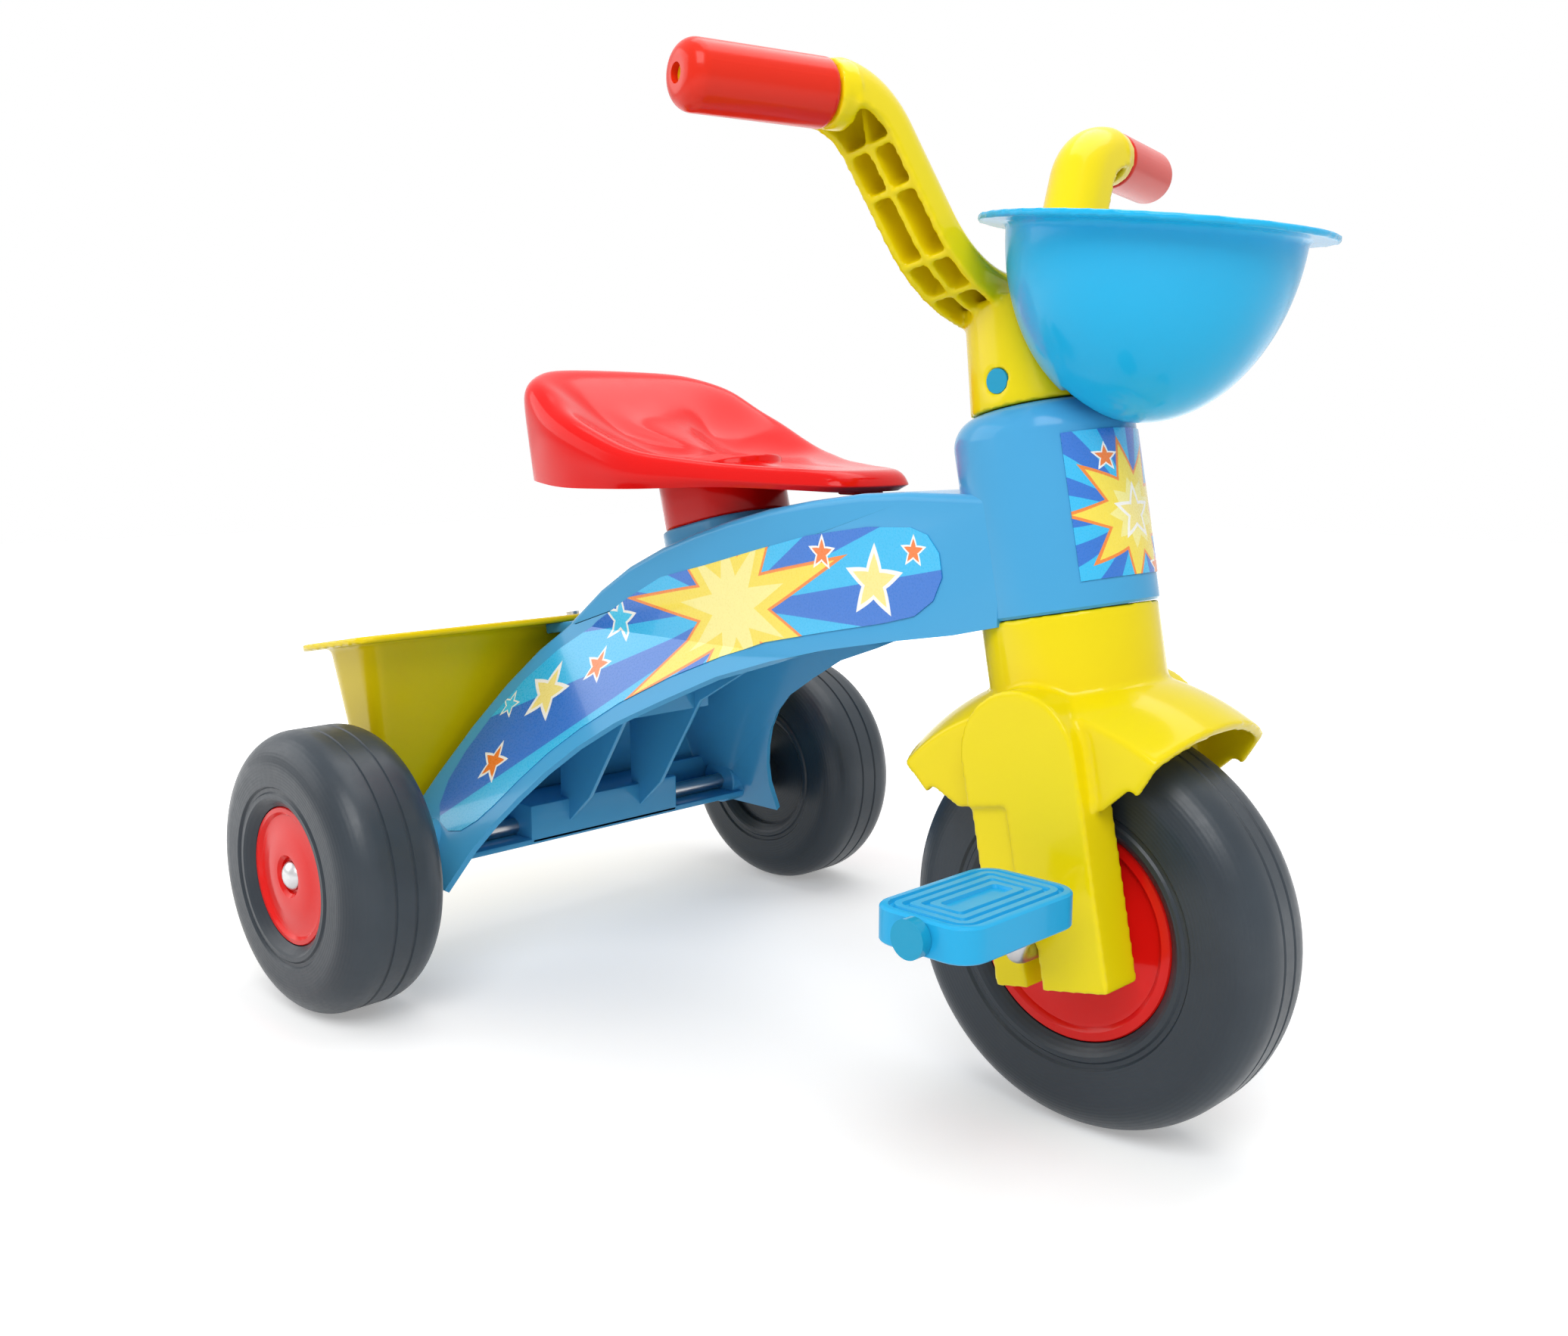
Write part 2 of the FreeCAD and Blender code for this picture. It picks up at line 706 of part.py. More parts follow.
def bowl():
    frame = FreeCAD.Placement(VECTOR(number("bowl_forward"), 0, number("bowl_height")),
                              FreeCAD.Rotation(Y_AXIS, number("bowl_tilt")))

    def egg(radius, depth):
        item = document.addObject("Part::Ellipsoid", "Ellipsoid")
        bind(item, Radius1=depth, Radius2=radius, Radius3=radius, Angle1="-90", Angle2="0")
        item.Placement = frame
        return item

    rim = cylinder("bowl_rim_diameter / 2", "3", frame.multiply(place(z=-3)))
    top = "stem_top - head_length + 14"
    stem_room = stem_cone("running_gap", "-20", top)
    stem_wall = stem_cone("running_gap + bowl_wall", "-20", top)
    head_room = cylinder("head_diameter / 2 + 2", "head_length + 2", column)
    head_wall = cylinder("head_diameter / 2 + 2 + bowl_wall", "head_length + 2 + bowl_wall", column)
    outside = cut(fuse(egg("bowl_diameter / 2", "bowl_depth"), rim), stem_room, head_room)
    inside = cut(egg("bowl_diameter / 2 - bowl_wall", "bowl_depth - bowl_wall"),
                 stem_wall, head_wall)
    holes = [bowl_screw_shank(rise) for rise in BOWL_SCREWS.values()]
    node(cut(outside, inside, *holes), "bowl")


def bowl_screw_frame(rise):
    """The frame of one bowl screw: its Z points forward out of the stem's front."""
    return column.multiply(place("stem_diameter / 2 - 6", 0, "head_length + %s" % rise, Y_AXIS, 90))


def bowl_screw_shank(rise):
    return cylinder("screw_diameter / 2", "6 + running_gap + bowl_wall", bowl_screw_frame(rise))


def bowl_screws():
    """Two screws from inside the bowl into the stem."""
    for name, rise in BOWL_SCREWS.items():
        head = cylinder("screw_diameter", "2.2", bowl_screw_frame(rise).multiply(
            place(z="6 + running_gap + bowl_wall")))
        node(fuse(bowl_screw_shank(rise), head), "bowl_screw_" + name)


# ------------------------------------------------------------------------------------ frame

seat_seat = place("seat_post_middle", 0, "beam_top - 22", Y_AXIS, "-seat_slope")
tub_frame = place("tub_front", 0, "tub_rim_height", Y_AXIS, "-tub_tilt")


def frame_front(inset):
    """The frame seen from the front: two walls that flare out to the feet."""
    foot = "(foot_half_width - %s)" % inset
    beam = "(beam_half_width - %s)" % inset
    return [
        ("-" + foot, "foot_height"),
        (foot, "foot_height"),
        (beam, "flare_height"),
        (beam, "beam_top + 20"),
        ("-" + beam, "beam_top + 20"),
        ("-" + beam, "flare_height"),
    ]


def frame_side(inset, below):
    """The frame seen from the side: a beam from the head that arches down to the rear axle."""
    rear = rear_axle.x - number("foot_length") * 0.44 + inset
    toe = rear_axle.x + number("foot_length") * 0.54
    top = number("beam_top") - inset
    foot = number("foot_height") - below
    front = head_foot.x - 10
    return [
        (rear, foot),
        (toe + below, foot),
        (toe + 8 + below, foot + 22),
        (toe + 104 + below, foot + 111, -229),
        (toe + 243 + below, foot + 153, -640),
        (front + below, foot + 168),
        (front + below, top),
        (front - 54 + inset, top),
        (front - 145 + inset, top - 11, 400),
        (front - 228 + inset, top - 35, 330),
        (front - 308 + inset, top - 81, 260),
        (rear + 30, top - 129, 143),
        (rear, number("foot_height") + 17, 300),
    ]


def frame_block(inset, below):
    """The frame's solid outline, or the space inside its walls."""
    side = body()
    pad(side, outline(sketch(side, "XZ_Plane"), frame_side(inset, below)), "overall_width", True)
    front = body()
    corners = frame_front(inset)
    if below:
        corners[0:2] = [("-(foot_half_width - %s) - 20" % inset, "foot_height - 30"),
                        ("foot_half_width - %s + 20" % inset, "foot_height - 30")]
    pad(front, outline(sketch(front, "YZ_Plane"), corners), "2 * overall_length", True)
    return common(side, front)


def oval(owner, length, width, offset=0.0):
    """A slot-shaped sketch across the body's XY plane."""
    reach = "(%s - %s) / 2" % (length, width)
    radius = "(%s) / 2" % width
    return outline(sketch(owner, "XY_Plane", offset), [
        ("-(%s)" % reach, "-(%s)" % radius, radius),
        (reach, "-(%s)" % radius),
        (reach, radius, radius),
        ("-(%s)" % reach, radius),
    ])


def frame():
    shell = cut(frame_block(0, 0), frame_block(number("wall"), 30))
    head = cylinder("head_diameter / 2", "head_length", column)
    rounding = document.addObject("Part::Fillet", "Fillet")
    document.recompute()
    rounding.Base = head
    top_edge = max(range(len(head.Shape.Edges)),
                   key=lambda index: head.Shape.Edges[index].CenterOfMass.z) + 1
    radius = number("head_round")
    rounding.Edges = [(top_edge, radius, radius)]
    solids = [shell, rounding]

    boss = body(seat_seat.multiply(place(z=-24)))
    pad(boss, oval(boss, "(seat_post_length + 4)", "(seat_post_width + 4)"), 24)
    solids.append(boss)

    # the axle carrier: a floor and a back wall across the feet, a block in the middle
    across = "2 * foot_half_width - 38"
    solids.append(box("carrier_length", across, "wall",
                      place(rear_axle.x, 0, "foot_height + carrier_rise")))
    solids.append(box("wall", across, "carrier_height",
                      place(rear_axle.x - number("carrier_length / 2 - wall / 2"), 0,
                            "foot_height + carrier_rise")))
    solids.append(box("carrier_length", "2 * beam_half_width + 36", "carrier_height",
                      place(rear_axle.x, 0, "foot_height + carrier_rise")))
    boss_start = number("foot_half_width - 21")
    for side in SIDES:
        solids.append(cylinder("hub_boss_diameter / 2 + 3", washer_start - boss_start,
                               on_axle(rear_axle, side, boss_start)))

    # upright ribs along the inside of the beam, and cross ribs between them
    for sign in SIDES.values():
        rib = body(place(0, sign * number("beam_half_width - 12"), 0))
        top = number("beam_top")
        pad(rib, outline(sketch(rib, "XZ_Plane"), [
            (rear_axle.x + 10, "foot_height + 10"),
            (rear_axle.x + 38, "foot_height + 35"),
            (rear_axle.x + 76, "foot_height + 92"),
            (rear_axle.x + 140, "foot_height + 128"),
            (100, "foot_height + 168"),
            (100, top - 8),
            (5, top - 16),
            (-78, top - 38),
            (-150, top - 82),
            (rear_axle.x + 8, top - 124),
        ]), "rib_wall", True)
        solids.append(rib)
    for along, low, high in ((rear_axle.x + 70, 150, top - 90), (-60, 190, top - 45), (20, 225, top - 20)):
        solids.append(box("rib_wall", "2 * beam_half_width - 4", high - low, place(along, 0, low)))

    # ledges that the tub stands on and is screwed to
    shelf_top = number("-tub_rim_thickness")
    solids.append(box("46", "tub_shelf_width", "6", tub_frame.multiply(place(5, 0, shelf_top - 6))))
    solids.append(box("56", "tub_shelf_width + 12", "5",
                      tub_frame.multiply(place(-64, 0, number("-tub_depth") - 5))))

    steering_bore = cylinder("steerer_diameter / 2 + bore_clearance", "head_length + 60",
                             column.multiply(place(z=-30)))
    axle_bore = cylinder("axle_diameter / 2 + bore_clearance", "overall_width",
                         on_axle(rear_axle, "left", -number("overall_width / 2")))
    holes = [steering_bore, axle_bore]
    for across in screw_spread("tub_shelf_width / 4"):
        holes.append(cylinder("screw_diameter / 2", "12", tub_frame.multiply(
            place(-9, across, shelf_top - 11))))
    for along in screw_spread("seat_post_length / 4"):
        holes.append(cylinder("screw_diameter / 2 + 0.1", "40", seat_seat.multiply(
            place(along, 0, -39))))
    # nothing of the frame reaches under the head or in front of it
    under = box("200", "200", "60", column.multiply(place(60, 0, -60)))
    node(cut(fuse(*solids), *holes, under), "frame_body")


def screw_spread(reach):
    return (-number(reach), number(reach))


# ------------------------------------------------------------------------------------ seat

# along, half width, foot and rim heights above the underside, depth of the dish
SEAT_SECTIONS = (
    (0.0, 54, 5, 66, 7),
    (0.10, 78, 3, 58, 12),
    (0.28, 86, 0, 37, 12),
    (0.50, 78, 1, 20, 7),
    (0.72, 53, 3, 14, 4),
    (0.90, 33, 1, 12, 2),
    (1.0, 23, 0, 11, 1.5),
)


def seat_block(inset):
    """The seat's solid outline, or the space under its skin."""
    owner = body()
    back, front = number("seat_back") + inset, number("seat_front") - inset
    profiles = []
    for along, half_width, foot, rim, dish in SEAT_SECTIONS:
        profile = sketch(owner, "YZ_Plane", back + (front - back) * along)
        width, top = half_width - inset, number("seat_under") + rim - inset
        low = number("seat_under") + foot - 2 * inset
        edge = 6 - inset / 2
        flat = width - edge
        outline(profile, [
            (-width, low),
            (width, low),
            (width, top - edge),
            (flat, top, edge),
            (-flat, top, -(flat ** 2 + dish ** 2) / (2 * dish)),
            (-width, top - edge, edge),
        ])
        profiles.append(profile)
    loft = owner.newObject("PartDesign::AdditiveLoft", "Loft")
    loft.Profile = profiles[0]
    loft.Sections = profiles[1:]
    return owner


def seat():
    skin = cut(seat_block(0.0), seat_block(number("wall")))
    post = body(seat_seat)
    pad(post, oval(post, "seat_post_length", "seat_post_width"), 60)
    filled = seat_block(0.0)
    under = box("300", "300", "80", place("seat_post_middle", 0, "seat_under - 69"))
    low_post, high_post = common(post, under), common(post, filled)
    tab = box("12", "22", "9", place("seat_front - 16", 0, "beam_top - 4"))
    holes = []
    for along in screw_spread("seat_post_length / 4"):
        holes.append(cylinder("screw_diameter / 2", "13", seat_seat.multiply(place(along, 0, -1))))
        shank = cylinder("screw_diameter / 2", "36", seat_seat.multiply(place(along, 0, -24)))
        head = cylinder("screw_diameter", "2.5", seat_seat.multiply(place(along, 0, -26.5)))
        node(fuse(shank, head), "seat_screw_front" if along > 0 else "seat_screw_rear")
    node(cut(fuse(skin, low_post, high_post, tab), *holes), "seat")


# ------------------------------------------------------------------------------------ tub

def tray(owner, front, back, half_width, front_round, back_round, offset):
    """A rounded oblong: it runs from front to back, and across to both sides."""
    return outline(sketch(owner, "XY_Plane", offset), [
        ("%s - %s" % (front, front_round), half_width, front_round),
        ("%s + %s" % (back, back_round), half_width),
        (back, "%s - %s" % (half_width, back_round), back_round),
        (back, "%s - (%s)" % (back_round, half_width)),
        ("%s + %s" % (back, back_round), "-(%s)" % half_width, back_round),
        ("%s - %s" % (front, front_round), "-(%s)" % half_width),
        (front, "%s - (%s)" % (front_round, half_width), front_round),
        (front, "%s - %s" % (half_width, front_round)),
    ])


def tub_block(inset, floor):
    """The tub's outside below its rim, or its inside."""
    owner = body(tub_frame)
    half = "(tub_rim_width / 2 - tub_flange - %s)" % inset
    low_half = "(tub_rim_width / 2 - tub_flange - tub_taper - %s)" % inset
    top = tray(owner, "(-tub_ledge - %s)" % inset, "(tub_flange - tub_rim_length + %s)" % inset,
               half, "(10 - %s)" % inset, "(26 - %s)" % inset, inset)
    low = tray(owner, "(-tub_ledge - 52 - %s)" % inset, "(-tub_rim_length - 6 + %s)" % inset,
               low_half, "(6 - %s)" % inset, "(8 - %s)" % inset, floor)
    loft = owner.newObject("PartDesign::AdditiveLoft", "Loft")
    loft.Profile = top
    loft.Sections = [low]
    return owner


def tub():
    rim = body(tub_frame.multiply(place(z="-tub_rim_thickness")))
    pad(rim, tray(rim, "0", "(-tub_rim_length)", "(tub_rim_width / 2)", "12", "34", 0),
        "tub_rim_thickness")
    wall = number("tub_wall")
    holes = [tub_block(wall, number("-tub_depth") + wall)]
    for across in screw_spread("tub_shelf_width / 4"):
        holes.append(cylinder("screw_diameter / 2 + 0.1", "12",
                              tub_frame.multiply(place(-9, across, -11))))
        shank = cylinder("screw_diameter / 2", "9", tub_frame.multiply(place(-9, across, -9)))
        head = cylinder("screw_diameter", "2", tub_frame.multiply(place(-9, across, 0)))
        node(fuse(shank, head), "tub_screw_left" if across > 0 else "tub_screw_right")
    node(cut(fuse(tub_block(0.0, number("-tub_depth")), rim), *holes), "tub")


# ------------------------------------------------------------------------------------ the model

for side_name in SIDES:
    rear_wheel(side_name)
rear_axle_set()
front_wheel()
crank_and_pedals()
fork()
handlebar()
grips()
stem_pin()
bowl()
bowl_screws()
frame()
seat()
tub()
document.recompute()

broken = [item.Name for item in document.Objects
          if "Invalid" in item.State or "Error" in item.State]
if broken:
    raise SystemExit("failed: " + ", ".join(broken))
for item in nodes:
    if item.Shape.isNull() or not item.Shape.isValid() or not item.Shape.Solids:
        raise SystemExit("no sound shape: " + item.Label)
    if len(item.Shape.Solids) != 1:
        print("more than one solid:", item.Label, len(item.Shape.Solids))

os.makedirs("parts", exist_ok=True)
for item in nodes:
    item.Shape.exportStep(os.path.join("parts", item.Label + ".step"))
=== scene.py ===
import math

import bpy
from mathutils import Matrix, Vector


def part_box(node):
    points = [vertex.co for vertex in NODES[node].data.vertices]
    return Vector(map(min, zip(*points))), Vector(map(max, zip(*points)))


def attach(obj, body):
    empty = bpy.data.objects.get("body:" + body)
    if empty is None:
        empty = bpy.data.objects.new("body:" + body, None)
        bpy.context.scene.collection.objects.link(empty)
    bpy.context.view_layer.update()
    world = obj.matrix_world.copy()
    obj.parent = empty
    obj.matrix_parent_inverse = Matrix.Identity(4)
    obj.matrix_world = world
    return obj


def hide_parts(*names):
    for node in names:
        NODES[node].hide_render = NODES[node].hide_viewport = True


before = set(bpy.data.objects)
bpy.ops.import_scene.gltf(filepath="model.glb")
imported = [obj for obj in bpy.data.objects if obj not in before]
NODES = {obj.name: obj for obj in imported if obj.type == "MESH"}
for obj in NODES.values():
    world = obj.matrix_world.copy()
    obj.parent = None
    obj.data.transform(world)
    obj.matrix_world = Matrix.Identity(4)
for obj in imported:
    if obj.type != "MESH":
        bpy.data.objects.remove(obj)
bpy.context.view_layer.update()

# A child's ride-on tricycle.  Metres; +X is forward, +Y the rider's left, +Z up.
# Everything on the steering column is drawn in the column's own place, whose Z is the column.

SIDES = {"left": 1, "right": -1}
RAKE = math.radians(11.5)
FRONT_AXLE = Vector((0.181, 0, 0.094))
REAR_AXLE = Vector((-0.1965, 0, 0.0785))
COLUMN = Matrix.Translation((0.16033, 0, 0.2357)) @ Matrix.Rotation(-RAKE, 4, "Y")
TUB_PLACE = Matrix.Translation((-0.181, 0, 0.207)) @ Matrix.Rotation(math.radians(-9.5), 4, "Y")
SEAT_FOOT = Matrix.Translation((-0.066, 0, 0.267)) @ Matrix.Rotation(math.radians(-13.4), 4, "Y")
FOLD_HEIGHT = 0.205
BEAM_HALF = 0.040
FOOT_HALF = 0.133
FOOT_HEIGHT = 0.063


# ---------------------------------------------------------------------------- modelling helpers

def deselect():
    if bpy.context.object and bpy.context.object.mode != "OBJECT":
        bpy.ops.object.mode_set(mode="OBJECT")
    bpy.ops.object.select_all(action="DESELECT")


def draw(name, points, closed=True, filled=False):
    """A line drawn point by point, closed or filled if asked; left in edit mode, all selected."""
    deselect()
    bpy.ops.mesh.primitive_plane_add(size=0.01)
    piece = bpy.context.object
    piece.name = name
    bpy.ops.object.mode_set(mode="EDIT")
    bpy.ops.mesh.select_mode(type="VERT")
    bpy.ops.mesh.select_all(action="SELECT")
    bpy.ops.mesh.merge(type="CENTER")
    here = Vector(points[0])
    bpy.ops.transform.translate(value=here)
    for point in points[1:]:
        step = Vector(point) - here
        here = Vector(point)
        bpy.ops.mesh.extrude_vertices_move(TRANSFORM_OT_translate={"value": step})
    bpy.ops.mesh.select_all(action="SELECT")
    if closed:
        bpy.ops.mesh.edge_face_add()
        if not filled:
            bpy.ops.mesh.delete(type="ONLY_FACE")
            bpy.ops.mesh.select_all(action="SELECT")
    return piece


def tidy(piece):
    """Merge doubles, turn every face outwards and leave edit mode."""
    bpy.ops.mesh.select_all(action="SELECT")
    bpy.ops.mesh.remove_doubles(threshold=0.00002)
    bpy.ops.mesh.normals_make_consistent(inside=False)
    bpy.ops.object.mode_set(mode="OBJECT")
    return piece


def turned(name, profile, centre, axis, steps=96, closed=True, angle=math.tau):
    """A profile of (radius, along) spun about an axis through a centre."""
    axis = Vector(axis).normalized()
    out = axis.orthogonal().normalized()
    centre = Vector(centre)
    piece = draw(name, [centre + out * radius + axis * along for radius, along in profile], closed)
    bpy.ops.mesh.spin(steps=steps, angle=angle, center=centre, axis=axis)
    return tidy(piece)


def block(name, outline, thickness):
    """A filled outline pushed out by a vector."""
    piece = draw(name, outline, filled=True)
    bpy.ops.mesh.extrude_region_move(TRANSFORM_OT_translate={"value": thickness})
    return tidy(piece)


def ringed(name, rings, filled=True):
    """A skin drawn through rings that all have the same number of points."""
    piece = draw(name, rings[0])
    for old, new in zip(rings, rings[1:]):
        moves = {tuple(round(value, 5) for value in a): b for a, b in zip(old, new)}
        bpy.ops.mesh.extrude_edges_move()
        bpy.ops.object.mode_set(mode="OBJECT")
        for corner in piece.data.vertices:
            if corner.select:
                corner.co = moves[tuple(round(value, 5) for value in corner.co)]
        bpy.ops.object.mode_set(mode="EDIT")
    if filled:
        bpy.ops.mesh.edge_face_add()
    return tidy(piece)


def pick(piece, kind, test):
    """Select the faces or edges whose middle (and normal) pass the test; left in edit mode."""
    bpy.ops.object.mode_set(mode="EDIT")
    bpy.ops.mesh.select_mode(type="FACE" if kind == "faces" else "EDGE")
    bpy.ops.mesh.select_all(action="DESELECT")
    bpy.ops.object.mode_set(mode="OBJECT")
    data = piece.data
    if kind == "faces":
        for face in data.polygons:
            face.select = test(face.center, face.normal)
    else:
        for edge in data.edges:
            ends = [data.vertices[index].co for index in edge.vertices]
            edge.select = test(*ends)
    bpy.ops.object.mode_set(mode="EDIT")


def applied(piece, kind, **settings):
    """Add a modifier, set it and apply it."""
    deselect()
    piece.select_set(True)
    bpy.context.view_layer.objects.active = piece
    modifier = piece.modifiers.new(kind.title(), kind)
    for name, value in settings.items():
        setattr(modifier, name, value)
    bpy.ops.object.modifier_apply(modifier=modifier.name)
    return piece


def rounded_edges(piece, width, segments=3, angle=35):
    return applied(piece, "BEVEL", width=width, segments=segments, limit_method="ANGLE",
                   angle_limit=math.radians(angle))


def smooth(piece, angle=40):
    deselect()
    piece.select_set(True)
    bpy.context.view_layer.objects.active = piece
    bpy.ops.object.shade_smooth_by_angle(angle=math.radians(angle))
    return piece


def joined(name, *pieces):
    deselect()
    for piece in pieces:
        piece.select_set(True)
    bpy.context.view_layer.objects.active = pieces[0]
    bpy.ops.object.join()
    bpy.context.object.name = name
    return bpy.context.object


def softened(node, name, voxel, rounds):
    """A copy of a made part with its sharp edges melted as moulding leaves them."""
    deselect()
    copy = NODES[node].copy()
    copy.data = copy.data.copy()
    copy.name = name
    copy.parent = None
    copy.matrix_world = Matrix.Identity(4)
    bpy.context.collection.objects.link(copy)
    copy.select_set(True)
    bpy.context.view_layer.objects.active = copy
    bpy.ops.object.mode_set(mode="EDIT")
    bpy.ops.mesh.select_all(action="SELECT")
    bpy.ops.mesh.remove_doubles(threshold=0.00001)
    bpy.ops.object.mode_set(mode="OBJECT")
    applied(copy, "REMESH", mode="VOXEL", voxel_size=voxel)
    applied(copy, "SMOOTH", factor=0.5, iterations=rounds)
    bpy.ops.object.shade_smooth()
    return copy


def finish_piece(piece, material, body, slot, *nodes):
    """Give a new piece its material and its place on the tricycle."""
    piece.data.materials.clear()
    piece.data.materials.append(material)
    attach(piece, body)
    if nodes:
        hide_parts(*nodes)
    return piece


def arc(centre, radius, start, end, count):
    """Points (across, up) along an arc, in degrees."""
    return [(centre[0] + radius * math.cos(math.radians(start + (end - start) * i / count)),
             centre[1] + radius * math.sin(math.radians(start + (end - start) * i / count)))
            for i in range(count + 1)]


# ------------------------------------------------------------------------------------ materials

def new_group(name, inputs, outputs):
    """A node group with its sockets, and its two end nodes."""
    group = bpy.data.node_groups.new(name, "ShaderNodeTree")
    for label, kind, value in inputs:
        socket = group.interface.new_socket(label, in_out="INPUT", socket_type=kind)
        if value is not None:
            socket.default_value = value
    for label, kind in outputs:
        group.interface.new_socket(label, in_out="OUTPUT", socket_type=kind)
    return group, group.nodes.new("NodeGroupInput"), group.nodes.new("NodeGroupOutput")


def math_node(tree, operation, *values):
    item = tree.nodes.new("ShaderNodeMath")
    item.operation = operation
    for index, value in enumerate(values):
        if isinstance(value, (int, float)):
            item.inputs[index].default_value = value
        else:
            tree.links.new(value, item.inputs[index])
    return item.outputs[0]


def mix_node(tree, factor, first, second):
    item = tree.nodes.new("ShaderNodeMix")
    item.data_type = "RGBA"
    for socket, value in ((item.inputs["Factor"], factor), (item.inputs[6], first),
                          (item.inputs[7], second)):
        if isinstance(value, (tuple, float, int)):
            socket.default_value = value
        else:
            tree.links.new(value, socket)
    return item.outputs[2]


def noise_node(tree, vector, scale, detail=3.0):
    item = tree.nodes.new("ShaderNodeTexNoise")
    item.inputs["Scale"].default_value = scale
    item.inputs["Detail"].default_value = detail
    tree.links.new(vector, item.inputs["Vector"])
    return item.outputs["Fac"]


def moulded_group():
    """Fresh moulded plastic: faint flow mottle in the colour, a fine skin and small scuffs."""
    group, start, end = new_group(
        "moulded skin",
        [("Vector", "NodeSocketVector", None), ("Colour", "NodeSocketColor", (1, 1, 1, 1)),
         ("Deep Colour", "NodeSocketColor", (0, 0, 0, 1)), ("Gloss", "NodeSocketFloat", 0.2)],
        [("Colour", "NodeSocketColor"), ("Roughness", "NodeSocketFloat"),
         ("Height", "NodeSocketFloat")])
    vector = start.outputs["Vector"]
    flow = noise_node(group, vector, 14.0, 2.0)
    skin = noise_node(group, vector, 420.0, 2.0)
    scuff = noise_node(group, vector, 75.0, 5.0)
    mottle = math_node(group, "MULTIPLY", flow, 0.32)
    colour = mix_node(group, mottle, start.outputs["Colour"], start.outputs["Deep Colour"])
    rub = math_node(group, "MULTIPLY", scuff, 0.10)
    rough = math_node(group, "ADD", start.outputs["Gloss"], rub)
    fine = math_node(group, "MULTIPLY", skin, 0.25)
    group.links.new(colour, end.inputs["Colour"])
    group.links.new(rough, end.inputs["Roughness"])
    group.links.new(math_node(group, "ADD", fine, flow), end.inputs["Height"])
    return group


def new_material(name):
    material = bpy.data.materials.new(name)
    material.use_nodes = True
    shader = material.node_tree.nodes["Principled BSDF"]
    where = material.node_tree.nodes.new("ShaderNodeTexCoord")
    return material, material.node_tree, shader, where.outputs["Object"]


def add_bump(tree, shader, height, distance, strength):
    bump = tree.nodes.new("ShaderNodeBump")
    bump.inputs["Distance"].default_value = distance
    bump.inputs["Strength"].default_value = strength
    tree.links.new(height, bump.inputs["Height"])
    tree.links.new(bump.outputs["Normal"], shader.inputs["Normal"])


MOULDED = moulded_group()


def moulded(name, colour, deep, gloss=0.14, coat=0.12):
    """A moulded plastic of one colour."""
    material, tree, shader, where = new_material(name)
    skin = tree.nodes.new("ShaderNodeGroup")
    skin.node_tree = MOULDED
    tree.links.new(where, skin.inputs["Vector"])
    skin.inputs["Colour"].default_value = (*colour, 1)
    skin.inputs["Deep Colour"].default_value = (*deep, 1)
    skin.inputs["Gloss"].default_value = gloss
    tree.links.new(skin.outputs["Colour"], shader.inputs["Base Color"])
    tree.links.new(skin.outputs["Roughness"], shader.inputs["Roughness"])
    shader.inputs["Coat Weight"].default_value = coat
    shader.inputs["Coat Roughness"].default_value = 0.06
    shader.inputs["Specular IOR Level"].default_value = 0.16
    add_bump(tree, shader, skin.outputs["Height"], 0.0004, 0.12)
    return material


def steel(name, colour, rough):
    """Drawn steel: fine lines along the wire and a little grime."""
    material, tree, shader, where = new_material(name)
    stretch = tree.nodes.new("ShaderNodeMapping")
    stretch.inputs["Scale"].default_value = (900, 30, 900)
    tree.links.new(where, stretch.inputs["Vector"])
    lines = noise_node(tree, stretch.outputs["Vector"], 1.0, 2.0)
    grime = noise_node(tree, where, 60.0, 4.0)
    shade = mix_node(tree, math_node(tree, "MULTIPLY", grime, 0.5), (*colour, 1),
                     tuple(value * 0.55 for value in colour) + (1,))
    tree.links.new(shade, shader.inputs["Base Color"])
    shader.inputs["Metallic"].default_value = 1.0
    tree.links.new(math_node(tree, "ADD", math_node(tree, "MULTIPLY", lines, 0.2), rough),
                   shader.inputs["Roughness"])
    add_bump(tree, shader, lines, 0.0001, 0.3)
    return material


def tyre_plastic(name, centre, radius):
    """A dark moulded tyre: fine turned lines round it and a paler worn band on its tread."""
    material, tree, shader, where = new_material(name)
    middle = tree.nodes.new("ShaderNodeMapping")
    middle.inputs["Location"].default_value = -centre
    tree.links.new(where, middle.inputs["Vector"])
    parts = tree.nodes.new("ShaderNodeSeparateXYZ")
    tree.links.new(middle.outputs["Vector"], parts.inputs[0])
    across, up = parts.outputs["X"], parts.outputs["Z"]
    out = math_node(tree, "SQRT", math_node(tree, "ADD", math_node(tree, "MULTIPLY", across, across),
                                            math_node(tree, "MULTIPLY", up, up)))
    lines = math_node(tree, "SINE", math_node(tree, "MULTIPLY", out, 3600.0))
    mottle = noise_node(tree, where, 30.0, 3.0)
    dust = noise_node(tree, where, 260.0, 3.0)
    tread = tree.nodes.new("ShaderNodeMapRange")
    tread.inputs["From Min"].default_value = radius - 0.012
    tread.inputs["From Max"].default_value = radius
    tree.links.new(out, tread.inputs["Value"])
    worn = math_node(tree, "MULTIPLY", tread.outputs["Result"],
                     math_node(tree, "ADD", math_node(tree, "MULTIPLY", mottle, 0.5), 0.15))
    base = mix_node(tree, mottle, (0.018, 0.025, 0.034, 1), (0.026, 0.036, 0.047, 1))
    tree.links.new(mix_node(tree, worn, base, (0.055, 0.072, 0.090, 1)), shader.inputs["Base Color"])
    tree.links.new(math_node(tree, "ADD", math_node(tree, "MULTIPLY", dust, 0.18), 0.27),
                   shader.inputs["Roughness"])
    height = math_node(tree, "ADD", math_node(tree, "MULTIPLY", lines, 0.25), dust)
    shader.inputs["Specular IOR Level"].default_value = 0.35
    add_bump(tree, shader, height, 0.0003, 0.22)
    return material


